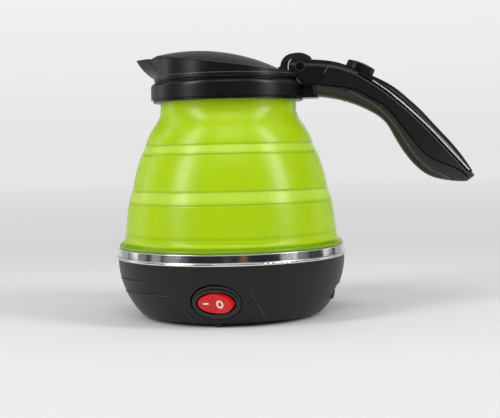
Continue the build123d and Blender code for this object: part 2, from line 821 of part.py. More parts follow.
# Collar: ring, neck wall and spout, turned and lofted, with the hinge cheeks on top
with BuildPart() as collar:
    wall_top_z = rim_z + spout_height
    with BuildSketch(Plane.XZ):
        with BuildLine():
            Polyline(
                (collar_ring_r, collar_bottom_z),
                (collar_ring_r, collar_top_z),
                (neck_wall_r, collar_top_z),
                (neck_wall_r, collar_top_z + ridge_groove),
                (ridge_r, collar_top_z + ridge_groove),
                (ridge_r, ridge_top_z),
                (neck_wall_r, ridge_top_z),
                (neck_wall_r, wall_top_z),
                (mouth_r, wall_top_z),
                (mouth_r, collar_top_z - collar_web - spigot_depth),
                (spigot_r, collar_top_z - collar_web - spigot_depth),
                (spigot_r, collar_top_z - collar_web),
                (collar_ring_r - collar_ring_wall, collar_top_z - collar_web),
                (collar_ring_r - collar_ring_wall, collar_bottom_z),
                close=True,
            )
        make_face()
        fillet(vertices().sort_by_distance((collar_ring_r, collar_top_z))[0], collar_edge_r)
        ridge_corners = vertices().filter_by(lambda corner: abs(corner.X - ridge_r) < pin_gap)
        fillet(ridge_corners, (ridge_r - neck_wall_r) * ridge_round_share)
    revolve(axis=Axis.Z)
    # Spout: three pointed sections, wider and longer towards the lip
    spout_levels = [
        (0, neck_wall_r + spout_keel_reach),
        (spout_middle_height_share * spout_height, neck_wall_r + spout_middle_reach),
        (spout_height, neck_wall_r + spout_reach),
    ]
    for level, keel_x in spout_levels:
        with BuildSketch(Plane.XY.offset(ridge_top_z - ridge_groove + level)):
            with BuildLine():
                Polyline(
                    (-spout_inner_root_x, -spout_half_width),
                    (-spout_root_x, -spout_half_width),
                    (-keel_x, 0),
                    (-spout_root_x, spout_half_width),
                    (-spout_inner_root_x, spout_half_width),
                    close=True,
                )
            make_face()
            fillet(vertices().sort_by(Axis.X)[0], spout_tip_r)
    loft()
    # Lid pocket, and the channel from it into the spout
    with BuildSketch(Plane.XY.offset(collar_top_z)):
        Circle(pocket_r)
    extrude(amount=overrun, mode=Mode.SUBTRACT)
    for level, keel_x in spout_levels:
        with BuildSketch(Plane.XY.offset(ridge_top_z - ridge_groove + spout_wall + level)):
            with BuildLine():
                Polyline(
                    (-spout_inner_root_x, -spout_half_width + spout_wall),
                    (-spout_root_x + spout_wall, -spout_half_width + spout_wall),
                    (-keel_x + spout_nose_wall, 0),
                    (-spout_root_x + spout_wall, spout_half_width - spout_wall),
                    (-spout_inner_root_x, spout_half_width - spout_wall),
                    close=True,
                )
            make_face()
    loft(mode=Mode.SUBTRACT)
    # The slanted rim, and the lip of the spout cut a little lower
    split(bisect_by=rim_plane, keep=Keep.BOTTOM)
    with BuildSketch(Plane.XZ):
        with BuildLine():
            lip_root = rim_plane.from_local_coords((-neck_wall_r - spout_lip_root_reach, 0, 0))
            lip_tip = rim_plane.from_local_coords((-neck_wall_r - spout_reach, 0, -spout_lip_drop))
            Polyline(
                (lip_root.X, lip_root.Z),
                (lip_tip.X, lip_tip.Z),
                (lip_tip.X - overrun, lip_tip.Z),
                (lip_tip.X - overrun, lip_root.Z + overrun),
                (lip_root.X, lip_root.Z + overrun),
                close=True,
            )
        make_face()
    extrude(amount=overrun, both=True, mode=Mode.SUBTRACT)

with BuildPart() as cheek_block:
    add(handle_form)
    with BuildSketch(Plane.XZ):
        with BuildLine():
            nose_top = pin_plane.from_local_coords(
                (
                    cheek_nose_r * cos(radians(cheek_nose_top_deg)),
                    cheek_nose_r * sin(radians(cheek_nose_top_deg)),
                )
            )
            nose_bottom = pin_plane.from_local_coords(
                (
                    cheek_nose_r * cos(radians(cheek_nose_bottom_deg)),
                    cheek_nose_r * sin(radians(cheek_nose_bottom_deg)),
                )
            )
            ThreePointArc(
                (nose_top.X, nose_top.Z),
                (pin_x - cheek_nose_r, pin_z),
                (nose_bottom.X, nose_bottom.Z),
            )
            Polyline(
                (nose_bottom.X, nose_bottom.Z),
                from_pin(cheek_jaw_offset),
                from_pin(cheek_heel_offset),
                (seam_bottom_x, cheek_bottom_z),
                (seam_bottom_x, seam_bottom_z),
                (seam_head_x, seam_head_z),
                (nose_top.X, seam_head_z),
                (nose_top.X, nose_top.Z),
            )
        make_face()
    extrude(amount=overrun, both=True, mode=Mode.INTERSECT)

with BuildPart() as handle_tongue:
    tongue_inset = handle_wall + seat_gap
    add(handle_loft(tongue_inset, tongue_inset, bore_corner_share, handle_station_shares[:6]))
    extrude(below_parting(tongue_drop), amount=overrun, both=True, mode=Mode.INTERSECT)
    with BuildSketch(Plane.YZ.offset(handle_root_x - root_gap - flange_thickness)):
        with Locations((0, handle_top_z)):
            Rectangle(2 * tongue_half_width, 2 * handle_drop)
    tongue_length = tongue_length_share * handle_reach
    extrude(amount=tongue_length + root_gap + flange_thickness, mode=Mode.INTERSECT)

with BuildPart() as hinge_bracket:
    # Bracket between the ring and the handle, in two heights, then the flange
    with BuildSketch(Plane.YZ.offset(neck_wall_r)):
        with Locations((0, (bracket_bottom_z + bracket_top_z) / 2)):
            Rectangle(2 * bracket_half_width, bracket_top_z - bracket_bottom_z)
        with Locations((0, (bracket_bottom_z + cheek_bottom_z + flange_thickness) / 2)):
            Rectangle(
                2 * bracket_neck_half_width, cheek_bottom_z + flange_thickness - bracket_bottom_z
            )
    extrude(amount=handle_root_x - root_gap - neck_wall_r)
    with BuildSketch(Plane.XY.offset(collar_bottom_z - overrun)):
        Circle(collar_ring_r - collar_ring_wall / 2)
    extrude(amount=2 * overrun, mode=Mode.SUBTRACT)

with BuildPart() as root_flange:
    add(handle_form)
    with BuildSketch(Plane.XZ):
        with BuildLine():
            Polyline(
                (handle_root_x - root_gap - flange_thickness, under_handle_z),
                (handle_root_x - root_gap, under_handle_z),
                (handle_root_x - root_gap, flange_top_z),
                (handle_root_x - root_gap - flange_thickness, flange_top_z),
                close=True,
            )
        make_face()
    extrude(amount=overrun, both=True, mode=Mode.INTERSECT)

with BuildPart() as collar_whole:
    add(collar.part)
    add(cheek_block.part)
    add(hinge_bracket.part)
    add(root_flange.part)
    add(handle_tongue.part)
    # Slot for the lid's arm, open towards the lid and upwards
    with BuildSketch(Plane.XZ):
        with BuildLine():
            slot_floor_z = pin_z - slot_floor_drop
            slot_reach = (slot_r**2 - slot_floor_drop**2) ** 0.5
            Polyline(
                (pin_x + slot_r, pin_z),
                (pin_x + slot_r, pin_z + overrun),
                (mouth_r - slot_r, pin_z + overrun),
                (mouth_r - slot_r, slot_floor_z),
                (pin_x + slot_reach, slot_floor_z),
            )
            ThreePointArc(
                (pin_x + slot_reach, slot_floor_z),
                (
                    pin_x + slot_r * cos(radians(slot_quarter_deg)),
                    pin_z - slot_r * sin(radians(slot_quarter_deg)),
                ),
                (pin_x + slot_r, pin_z),
            )
        make_face()
    extrude(amount=slot_half_width, both=True, mode=Mode.SUBTRACT)
    # Bore for the pin, with a shallow recess at each end
    with BuildSketch(Plane.XZ):
        with Locations((pin_x, pin_z)):
            Circle(pin_r + pin_gap)
    extrude(amount=overrun, both=True, mode=Mode.SUBTRACT)
    for outward in (1, -1):
        with BuildSketch(Plane.XZ.offset(outward * (handle_half_width - pin_recess_depth))):
            with Locations((pin_x, pin_z)):
                Circle(pin_recess_r)
        extrude(amount=outward * overrun, mode=Mode.SUBTRACT)
    # Window for the latch, and blind holes for the handle screws
    with BuildSketch(Plane.YZ.offset(pin_x + slot_reach - running_gap)):
        with Locations((0, (latch_nose_top_z + latch_nose_bottom_z) / 2)):
            Rectangle(
                2 * (latch_half_width + running_gap),
                latch_nose_top_z - latch_nose_bottom_z + 2 * running_gap,
            )
    extrude(amount=handle_depth, mode=Mode.SUBTRACT)
    for screw_x, seat_z in handle_screw_places:
        with BuildSketch(Plane.XY.offset(seat_z - overrun)):
            with Locations((screw_x, 0)):
                Circle(handle_screw_r + pin_gap)
        extrude(amount=overrun + handle_screw_length + seat_gap, mode=Mode.SUBTRACT)
finish(collar_whole, "collar")

# Handle shells and the strip along the back
with BuildPart() as handle_hollow:
    add(handle_bore)
    extrude(above_strip_line(strip_floor), amount=overrun, both=True, mode=Mode.SUBTRACT)
    # The well of the release button hangs inside the upper shell, from side to side
    with BuildSketch(button_plane.offset(-well_depth - well_floor)):
        Rectangle(2 * (button_r + running_gap + well_wall), 2 * handle_half_width)
    extrude(amount=overrun, mode=Mode.SUBTRACT)

with BuildPart() as handle_upper_shell:
    add(handle_form)
    extrude(below_parting(0), amount=overrun, both=True, mode=Mode.SUBTRACT)
    extrude(left_of_seam(shell_seam), amount=overrun, both=True, mode=Mode.SUBTRACT)
    extrude(above_strip_line(0), amount=overrun, both=True, mode=Mode.SUBTRACT)
    add(handle_hollow.part, mode=Mode.SUBTRACT)
    with BuildSketch(button_plane.offset(-well_depth)):
        Circle(button_r + running_gap)
    extrude(amount=overrun, mode=Mode.SUBTRACT)
    with BuildSketch(button_plane.offset(-well_depth - overrun / 4)):
        Circle(stem_r + running_gap)
    extrude(amount=overrun / 2, mode=Mode.SUBTRACT)
finish(handle_upper_shell, "handle_upper_shell")

with BuildPart() as handle_lower_shell:
    add(handle_form)
    extrude(below_parting(shell_seam), amount=overrun, both=True, mode=Mode.INTERSECT)
    with BuildSketch(Plane.YZ.offset(handle_root_x)):
        with Locations((0, handle_top_z)):
            Rectangle(2 * overrun, 2 * handle_drop + overrun)
    extrude(amount=-overrun, mode=Mode.SUBTRACT)
    add(handle_bore, mode=Mode.SUBTRACT)
    for screw_x, seat_z in handle_screw_places:
        with BuildSketch(Plane.XY.offset(seat_z)):
            with Locations((screw_x, 0)):
                Circle(handle_screw_head_r + seat_gap)
        extrude(amount=-overrun, mode=Mode.SUBTRACT)
        with BuildSketch(Plane.XY.offset(seat_z)):
            with Locations((screw_x, 0)):
                Circle(handle_screw_r + seat_gap)
        extrude(amount=handle_wall, mode=Mode.SUBTRACT)
finish(handle_lower_shell, "handle_lower_shell")

with BuildPart() as handle_back_strip:
    add(handle_loft(strip_inset, 0, handle_corner_share, handle_station_shares[:-1]))
    extrude(above_strip_line(0), amount=overrun, both=True, mode=Mode.INTERSECT)
    with BuildSketch(button_plane.offset(-well_depth)):
        Circle(button_r + running_gap)
    extrude(amount=overrun, mode=Mode.SUBTRACT)
finish(handle_back_strip, "handle_back_strip")

with BuildPart() as handle_screws:
    for screw_x, seat_z in handle_screw_places:
        with BuildSketch(Plane.XY.offset(seat_z - handle_screw_head_height)):
            with Locations((screw_x, 0)):
                Circle(handle_screw_head_r)
        extrude(amount=handle_screw_head_height)
        with BuildSketch(Plane.XY.offset(seat_z)):
            with Locations((screw_x, 0)):
                Circle(handle_screw_r)
        extrude(amount=handle_screw_length)
finish(handle_screws, "handle_screws")

# Lid: dome with its arm, liner, seal and screws
boss_bottom = lid_skirt_depth + liner_dish_depth

with BuildPart() as lid_bosses:
    with BuildSketch(rim_plane.offset(-boss_bottom)):
        with PolarLocations(lid_screw_circle_r, lid_screw_count, start_angle=180):
            Circle(lid_boss_r)
    extrude(amount=overrun)
    with Locations(dome_centre):
        Sphere(dome_r - lid_wall / 2, mode=Mode.INTERSECT)

with BuildPart() as lid_hollow:
    with BuildSketch(rim_plane.offset(-overrun)):
        Circle(skirt_r - lid_skirt_wall)
    extrude(amount=2 * overrun)
    with Locations(dome_centre):
        Sphere(dome_r - lid_wall, mode=Mode.INTERSECT)

with BuildPart() as lid_cover:
    with BuildSketch(Plane.XY.offset(rim_z - overrun)):
        Circle(lid_edge_r)
        with BuildLine():
            Polyline(
                (-spout_root_x, -lid_nose_half_width),
                (-neck_wall_r - lid_nose_reach, 0),
                (-spout_root_x, lid_nose_half_width),
                close=True,
            )
        make_face()
    extrude(amount=2 * overrun)
    split(bisect_by=rim_plane.offset(running_gap), keep=Keep.TOP)
    with BuildSketch(rim_plane.offset(-lid_skirt_depth)):
        Circle(skirt_r)
    extrude(amount=lid_skirt_depth + running_gap)
    with Locations(dome_centre):
        Sphere(dome_r, mode=Mode.INTERSECT)
    add(lid_hollow.part, mode=Mode.SUBTRACT)
    add(lid_bosses.part)
    # The tail is cut round to clear the cheeks as the lid swings
    with BuildSketch(Plane.XZ):
        with Locations((pin_x, pin_z)):
            Circle(cheek_nose_r + lid_tail_gap)
    extrude(amount=overrun, both=True, mode=Mode.SUBTRACT)
    with BuildSketch(Plane.XZ):
        with BuildLine():
            arm_root = from_pin(arm_root_offset)
            arm_rise = from_pin(arm_rise_offset)
            arm_peak = from_pin(arm_peak_offset)
            arm_back = from_pin(arm_back_offset)
            Line(arm_root, arm_rise)
            ThreePointArc(arm_rise, from_pin(arm_shoulder_offset), arm_peak)
            ThreePointArc(arm_peak, from_pin(arm_crown_offset), arm_back)
            Line(arm_back, (pin_x + hub_r, pin_z))
            ThreePointArc(
                (pin_x + hub_r, pin_z),
                (pin_x + hub_r * cos(radians(hub_turn_deg)), pin_z - hub_r * sin(radians(hub_turn_deg))),
                (pin_x, pin_z - hub_r),
            )
            Polyline((pin_x, pin_z - hub_r), from_pin(arm_belly_offset), arm_root)
        make_face()
    extrude(amount=arm_half_width, both=True)
    with BuildSketch(Plane.XZ):
        with Locations((pin_x, pin_z)):
            Circle(pin_r + 2 * pin_gap)
    extrude(amount=overrun, both=True, mode=Mode.SUBTRACT)
    with BuildSketch(Plane.XZ.offset(-arm_half_width)):
        with Locations((pin_x, pin_z)):
            Circle(spring_pocket_r)
    extrude(amount=spring_length, mode=Mode.SUBTRACT)
    # Screw holes up into the bosses
    with BuildSketch(rim_plane.offset(-boss_bottom)):
        with PolarLocations(lid_screw_circle_r, lid_screw_count, start_angle=180):
            Circle(lid_screw_shank_r + pin_gap)
    extrude(amount=lid_screw_length - liner_thickness + seat_gap, mode=Mode.SUBTRACT)
finish(lid_cover, "lid_cover")

with BuildPart() as lid_liner:
    with BuildSketch(rim_plane.offset(-lid_skirt_depth - liner_thickness)):
        Circle(liner_r)
    extrude(amount=liner_thickness)
    with BuildSketch(rim_plane.offset(-boss_bottom - liner_thickness)):
        Circle(liner_dish_r)
    extrude(amount=liner_dish_depth)
    with BuildSketch(rim_plane.offset(-boss_bottom)):
        Circle(liner_dish_r - liner_thickness)
    extrude(amount=overrun, mode=Mode.SUBTRACT)
    with BuildSketch(rim_plane.offset(-boss_bottom - liner_thickness)):
        with PolarLocations(lid_screw_circle_r, lid_screw_count, start_angle=180):
            Circle(lid_screw_shank_r + seat_gap)
    extrude(amount=liner_thickness, mode=Mode.SUBTRACT)
finish(lid_liner, "lid_liner")

with BuildPart() as lid_seal:
    with BuildSketch(rim_plane.offset(-lid_skirt_depth - seal_thickness)):
        Circle(pocket_r - seal_gap)
        Circle(liner_r + pin_gap, mode=Mode.SUBTRACT)
    extrude(amount=seal_thickness)
finish(lid_seal, "lid_seal")

with BuildPart() as lid_screws:
    with BuildSketch(rim_plane.offset(-boss_bottom - liner_thickness - lid_screw_head_height)):
        with PolarLocations(lid_screw_circle_r, lid_screw_count, start_angle=180):
            Circle(lid_screw_head_r)
    extrude(amount=lid_screw_head_height)
    with BuildSketch(rim_plane.offset(-boss_bottom - liner_thickness)):
        with PolarLocations(lid_screw_circle_r, lid_screw_count, start_angle=180):
            Circle(lid_screw_shank_r)
    extrude(amount=lid_screw_length)
finish(lid_screws, "lid_screws")

with BuildPart() as hinge_pin:
    with BuildSketch(Plane.XZ):
        with Locations((pin_x, pin_z)):
            Circle(pin_r)
    extrude(amount=handle_half_width - pin_recess_depth, both=True)
finish(hinge_pin, "hinge_pin")

with BuildPart() as lid_spring:
    with BuildSketch(Plane.XZ.offset(-slot_half_width)):
        with Locations((pin_x, pin_z)):
            Circle(spring_r)
            Circle(spring_bore_r, mode=Mode.SUBTRACT)
    extrude(amount=spring_length)
finish(lid_spring, "lid_spring")

# Release button, its spring and the latch slide
with BuildPart() as lid_button:
    with BuildSketch(button_side):
        with BuildLine():
            crown_z = button_height + button_crown
            ThreePointArc(
                (0, crown_z),
                (button_r / 2, crown_z - button_crown / 4),
                (button_r, button_height),
            )
            Polyline(
                (button_r, button_height),
                (button_r, -button_skirt),
                (button_r - button_wall, -button_skirt),
                (button_r - button_wall, button_height - button_wall),
                (stem_r, button_height - button_wall),
                (stem_r, -stem_length),
                (0, -stem_length),
                (0, crown_z),
            )
        make_face()
        fillet(vertices().sort_by_distance((button_r, button_height))[0], button_edge_r)
    revolve(axis=button_axis)
finish(lid_button, "lid_button")

with BuildPart() as button_spring:
    with BuildSketch(button_plane.offset(-well_depth)):
        Circle(button_spring_r)
        Circle(button_spring_r - button_spring_wall, mode=Mode.SUBTRACT)
    extrude(amount=well_depth + button_height - button_wall)
finish(button_spring, "button_spring")

with BuildPart() as latch_slider:
    with BuildSketch(Plane.XZ):
        with BuildLine():
            Polyline(
                (pin_x + latch_nose_offset, latch_nose_bottom_z),
                (pin_x + latch_neck_offset - latch_web, latch_nose_bottom_z),
                (pin_x + latch_neck_offset - latch_web, latch_fork_bottom_z),
                (button_x - latch_fork_setback, latch_fork_bottom_z),
                (button_x - latch_fork_setback, latch_fork_top_z),
                (pin_x + latch_neck_offset, latch_fork_top_z),
                (pin_x + latch_neck_offset, latch_nose_top_z),
                (pin_x + latch_nose_offset, latch_nose_top_z),
                close=True,
            )
        make_face()
    extrude(amount=latch_half_width, both=True)
    with BuildSketch(Plane.XY.offset(latch_fork_bottom_z)):
        with Locations((button_x - latch_fork_setback - latch_fork_length + overrun / 2, 0)):
            Rectangle(overrun, 2 * (stem_r + running_gap))
    extrude(amount=latch_fork_top_z - latch_fork_bottom_z, mode=Mode.SUBTRACT)
finish(latch_slider, "latch_slider")

# Switch: oval bezel with its can, and the rocker resting with its left end pressed
with BuildPart() as switch_body:
    with BuildSketch(switch_plane.offset(-bezel_thickness)):
        Ellipse(bezel_half_width, bezel_half_height)
    extrude(amount=bezel_thickness)
    fillet(edges().filter_by(GeomType.ELLIPSE).sort_by(Axis.Y)[0], bezel_edge_r)
    with BuildSketch(switch_plane):
        Ellipse(
            rocker_half_width + rocker_gap + bezel_collar_width,
            rocker_half_height + rocker_gap + bezel_collar_width,
        )
    extrude(amount=bezel_collar)
    with BuildSketch(switch_plane.offset(-bezel_thickness)):
        Ellipse(rocker_half_width + rocker_gap, rocker_half_height + rocker_gap)
    extrude(amount=overrun, mode=Mode.SUBTRACT)
    with BuildSketch(switch_plane.offset(-can_depth)):
        Rectangle(can_width, can_height)
    extrude(amount=can_depth - bezel_thickness)
    pivot_plane = Plane(
        origin=switch_plane.offset(-rocker_pivot_depth).origin,
        x_dir=(1, 0, 0),
        z_dir=switch_plane.y_dir,
    )
    with BuildSketch(pivot_plane):
        Circle(rocker_pivot_r + pin_gap)
    extrude(
        amount=rocker_half_height + rocker_gap + rocker_pivot_reach + seat_gap,
        both=True,
        mode=Mode.SUBTRACT,
    )
finish(switch_body, "switch_body")

with BuildPart() as level_rocker:
    with BuildSketch(switch_plane.offset(-rocker_foot)):
        Ellipse(rocker_half_width, rocker_half_height)
    with BuildSketch(switch_plane.offset(rocker_height)):
        Ellipse(rocker_half_width - rocker_draft, rocker_half_height - rocker_draft)
    loft()
    # Two faces that meet in a valley over the pivot
    rocker_side = Plane(
        origin=switch_plane.origin, x_dir=(1, 0, 0), z_dir=switch_plane.y_dir * -1
    )
    with BuildSketch(rocker_side):
        with BuildLine():
            fall = tan(radians(rocker_fall_deg)) * 2 * rocker_half_width
            Polyline(
                (0, rocker_valley),
                (2 * rocker_half_width, rocker_valley + fall),
                (2 * rocker_half_width, overrun),
                (-2 * rocker_half_width, overrun),
                (-2 * rocker_half_width, rocker_valley + fall),
                close=True,
            )
        make_face()
    extrude(amount=overrun, both=True, mode=Mode.SUBTRACT)
    with BuildSketch(pivot_plane):
        Circle(rocker_pivot_r)
    extrude(amount=rocker_half_height + rocker_gap + rocker_pivot_reach, both=True)

pivot_axis = Axis(pivot_plane.origin, pivot_plane.z_dir)
with BuildPart() as switch_rocker:
    add(level_rocker.part.rotate(pivot_axis, -rocker_fall_deg))
finish(switch_rocker, "switch_rocker")

# Power inlet: a moulded socket with two round pins and an earth blade
with BuildPart() as power_inlet:
    with BuildSketch(Plane.YZ.offset(inlet_back_x)):
        with Locations((0, inlet_z)):
            RectangleRounded(
                2 * (inlet_half_width - seat_gap),
                inlet_height - 2 * seat_gap,
                inlet_corner_r - seat_gap,
            )
    extrude(amount=inlet_face_x - inlet_back_x)
    with BuildSketch(Plane.YZ.offset(inlet_face_x)):
        with Locations((0, inlet_z)):
            RectangleRounded(
                2 * (inlet_half_width - inlet_well_wall),
                inlet_height - 2 * inlet_well_wall,
                inlet_corner_r - inlet_well_wall,
            )
    extrude(amount=-inlet_well_depth, mode=Mode.SUBTRACT)
    with BuildSketch(Plane.YZ.offset(inlet_back_x)):
        with Locations((inlet_pin_spread, inlet_z), (-inlet_pin_spread, inlet_z)):
            Circle(inlet_pin_r + pin_gap)
        with Locations((0, inlet_z)):
            Rectangle(earth_blade_width + 2 * pin_gap, earth_blade_height + 2 * pin_gap)
    extrude(amount=inlet_face_x - inlet_back_x, mode=Mode.SUBTRACT)
finish(power_inlet, "power_inlet")

with BuildPart() as inlet_pins:
    with BuildSketch(Plane.YZ.offset(inlet_back_x - inlet_pin_tail)):
        with Locations((inlet_pin_spread, inlet_z), (-inlet_pin_spread, inlet_z)):
            Circle(inlet_pin_r)
        with Locations((0, inlet_z)):
            Rectangle(earth_blade_width, earth_blade_height)
    extrude(amount=inlet_depth - inlet_pin_setback + inlet_pin_tail)
finish(inlet_pins, "inlet_pins")

# Heating parts under the pan
with BuildPart() as heat_spreader:
    with BuildSketch(Plane.XY.offset(spreader_bottom_z)):
        Circle(spreader_r)
    extrude(amount=spreader_thickness)
finish(heat_spreader, "heat_spreader")

with BuildPart() as heating_element:
    gap_turn = radians(element_gap_deg / 2)
    start_plane = Plane(
        origin=(0, 0, 0),
        x_dir=(cos(gap_turn), sin(gap_turn), 0),
        z_dir=(sin(gap_turn), -cos(gap_turn), 0),
    )
    with BuildSketch(start_plane):
        with Locations((element_circle_r, element_z)):
            Circle(element_tube_r)
    revolve(axis=Axis.Z, revolution_arc=360 - element_gap_deg)
    with BuildSketch(Plane.XY.offset(element_z - element_tube_r - element_pin_length)):
        with PolarLocations(
            element_circle_r,
            2,
            start_angle=element_gap_deg / 2 + element_pin_turn_deg,
            angular_range=360 - element_gap_deg - 2 * element_pin_turn_deg,
            endpoint=True,
        ):
            Circle(element_pin_r)
    extrude(amount=element_tube_r + element_pin_length)
finish(heating_element, "heating_element")

with BuildPart() as thermostat:
    with BuildSketch(Plane.XY.offset(spreader_bottom_z)):
        Circle(thermostat_flange_r)
    extrude(amount=-thermostat_flange)
    with BuildSketch(Plane.XY.offset(spreader_bottom_z - thermostat_flange)):
        Circle(thermostat_can_r)
    extrude(amount=-thermostat_can_depth)
    with BuildSketch(Plane.XY.offset(spreader_bottom_z - thermostat_flange - thermostat_can_depth)):
        with Locations((0, thermostat_blade_spread), (0, -thermostat_blade_spread)):
            Rectangle(thermostat_blade_width, thermostat_blade_thickness)
    extrude(amount=-thermostat_blade_length)
finish(thermostat, "thermostat")

with BuildPart() as thermal_fuse:
    # The fuse lies halfway between the thermostat and the element
    fuse_y = (thermostat_flange_r + element_circle_r - element_tube_r) / 2
    with BuildSketch(Plane.YZ):
        with Locations((fuse_y, spreader_bottom_z - fuse_r)):
            Circle(fuse_r)
    extrude(amount=fuse_length / 2, both=True)
    with BuildSketch(Plane.YZ):
        with Locations((fuse_y, spreader_bottom_z - fuse_r)):
            Circle(fuse_lead_r)
    extrude(amount=fuse_length / 2 + fuse_lead_length, both=True)
finish(thermal_fuse, "thermal_fuse")
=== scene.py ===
# %% [markdown]
# # A collapsible travel kettle
# The kettle stands on a pale floor with its handle to the right. Its rigid parts come
# ready made as a fixed frame, in metres. This script gives them their finishes, makes the
# soft silicone body that folds, adds the small things that only show close up, and sets
# the light and the camera.

# %% Load the frame
from math import cos, pi, radians, sin

import bmesh
import bpy
from mathutils import Matrix, Vector
from mathutils.bvhtree import BVHTree


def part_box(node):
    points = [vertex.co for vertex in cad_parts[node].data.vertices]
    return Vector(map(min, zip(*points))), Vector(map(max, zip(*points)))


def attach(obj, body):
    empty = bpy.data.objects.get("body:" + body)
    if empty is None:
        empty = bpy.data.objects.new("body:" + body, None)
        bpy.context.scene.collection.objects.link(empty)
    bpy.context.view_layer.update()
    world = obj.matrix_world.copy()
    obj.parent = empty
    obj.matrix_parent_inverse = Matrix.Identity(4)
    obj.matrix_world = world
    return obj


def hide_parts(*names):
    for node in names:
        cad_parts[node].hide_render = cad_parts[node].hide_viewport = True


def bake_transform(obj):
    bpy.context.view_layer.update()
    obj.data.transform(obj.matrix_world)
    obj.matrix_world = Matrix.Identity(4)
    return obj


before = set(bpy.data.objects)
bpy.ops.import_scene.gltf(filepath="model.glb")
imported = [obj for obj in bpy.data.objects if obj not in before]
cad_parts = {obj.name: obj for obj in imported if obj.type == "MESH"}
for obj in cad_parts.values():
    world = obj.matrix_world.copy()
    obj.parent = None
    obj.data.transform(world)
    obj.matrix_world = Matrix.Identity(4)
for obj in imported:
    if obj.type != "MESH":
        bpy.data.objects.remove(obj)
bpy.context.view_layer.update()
MM = 0.001

# %% [markdown]
# ## The camera
# The photograph looks at the kettle from a little above its middle height, from a
# distance of about half a metre, so the near edges of the rings sag a little. A camera
# could be turned by hand until it fits. Here it is placed by its direction round the
# kettle, its height and its tilt, because the rings' ellipses fix each of these by itself.
# Its right-hand side is rolled down slightly, which turns the picture the other way, and
# it looks a little to the right of the kettle's axis, because the handle needs the room.

# %% Camera
camera_distance = 562 * MM
camera_height = 88.7 * MM
camera_azimuth = radians(8.5)
camera_yaw = radians(1.088)
camera_pitch = radians(3.2)
camera_roll = radians(1.27)
sensor_mm, lens_mm = 36, 73.15
heading = camera_azimuth - camera_yaw
look = Vector(
    (-sin(heading) * cos(camera_pitch), cos(heading) * cos(camera_pitch), -sin(camera_pitch))
)
level_right = Vector((cos(heading), sin(heading), 0))
level_up = level_right.cross(look)
camera_right = level_right * cos(camera_roll) - level_up * sin(camera_roll)
camera_up = level_up * cos(camera_roll) + level_right * sin(camera_roll)
camera_data = bpy.data.cameras.new("photo_camera")
camera_data.sensor_width = sensor_mm
camera_data.lens = lens_mm
camera = bpy.data.objects.new("photo_camera", camera_data)
bpy.context.scene.collection.objects.link(camera)
place = Matrix((camera_right, camera_up, -look)).transposed().to_4x4()
place.translation = (
    camera_distance * sin(camera_azimuth),
    -camera_distance * cos(camera_azimuth),
    camera_height,
)
camera.matrix_world = place
bpy.context.scene.camera = camera
bpy.context.scene.view_settings.view_transform = "Standard"
print("camera at", [round(value, 3) for value in place.translation])

# %% [markdown]
# ## Materials, and the effects they share
# A moulded plastic is never one flat tone: it has a fine grain from its mould, and its
# gloss changes a little over its surface. Pictures could hold both, but they blur close up,
# so noise makes them here. The effects come back in most finishes, so each is a node group
# with named inputs and outputs, built once. The shader itself stays in each material.


# %% Node helpers
def new_group(name, inputs, outputs):
    """Starts a shader node group with float or colour sockets."""
    group = bpy.data.node_groups.new(name, "ShaderNodeTree")
    for label, kind, value in inputs:
        socket = group.interface.new_socket(label, in_out="INPUT", socket_type=kind)
        socket.default_value = value
    for label, kind in outputs:
        group.interface.new_socket(label, in_out="OUTPUT", socket_type=kind)
    entry = group.nodes.new("NodeGroupInput")
    leave = group.nodes.new("NodeGroupOutput")
    print("node group:", name)
    return group, entry.outputs, leave.inputs


def node(tree, kind, **settings):
    """Adds a node and sets its properties and its numbered or named inputs."""
    made = tree.nodes.new(kind)
    for key, value in settings.items():
        if key == "inputs":
            for socket, content in value.items():
                if isinstance(content, bpy.types.NodeSocket):
                    tree.links.new(content, made.inputs[socket])
                else:
                    made.inputs[socket].default_value = content
        else:
            setattr(made, key, value)
    return made


# %% Helpers for single steps in a node tree
def calc(tree, operation, first, second=0.0, use_clamp=False):
    """The result of a Math node."""
    step = node(
        tree,
        "ShaderNodeMath",
        operation=operation,
        use_clamp=use_clamp,
        inputs={0: first, 1: second},
    )
    return step.outputs[0]


def ramp(tree, value, low, high, interpolation="LINEAR"):
    """A share that goes from 0 at low to 1 at high, also where low is the greater of the two."""
    step = node(
        tree,
        "ShaderNodeMapRange",
        interpolation_type=interpolation,
        inputs={"Value": value, "From Min": low, "From Max": high},
    )
    return step.outputs[0]


def mixed(tree, factor, first, second):
    """Two colours mixed by a factor. A colour is a socket or three numbers."""
    ends = [end if isinstance(end, bpy.types.NodeSocket) else (*end, 1) for end in (first, second)]
    step = node(
        tree,
        "ShaderNodeMix",
        data_type="RGBA",
        inputs={"Factor": factor, "A": ends[0], "B": ends[1]},
    )
    return step.outputs["Result"]


def noise(tree, scale, detail):
    """A noise over the piece's own coordinates."""
    on_piece = node(tree, "ShaderNodeTexCoord").outputs["Object"]
    inputs = {"Vector": on_piece, "Scale": scale, "Detail": detail}
    return node(tree, "ShaderNodeTexNoise", inputs=inputs).outputs["Fac"]


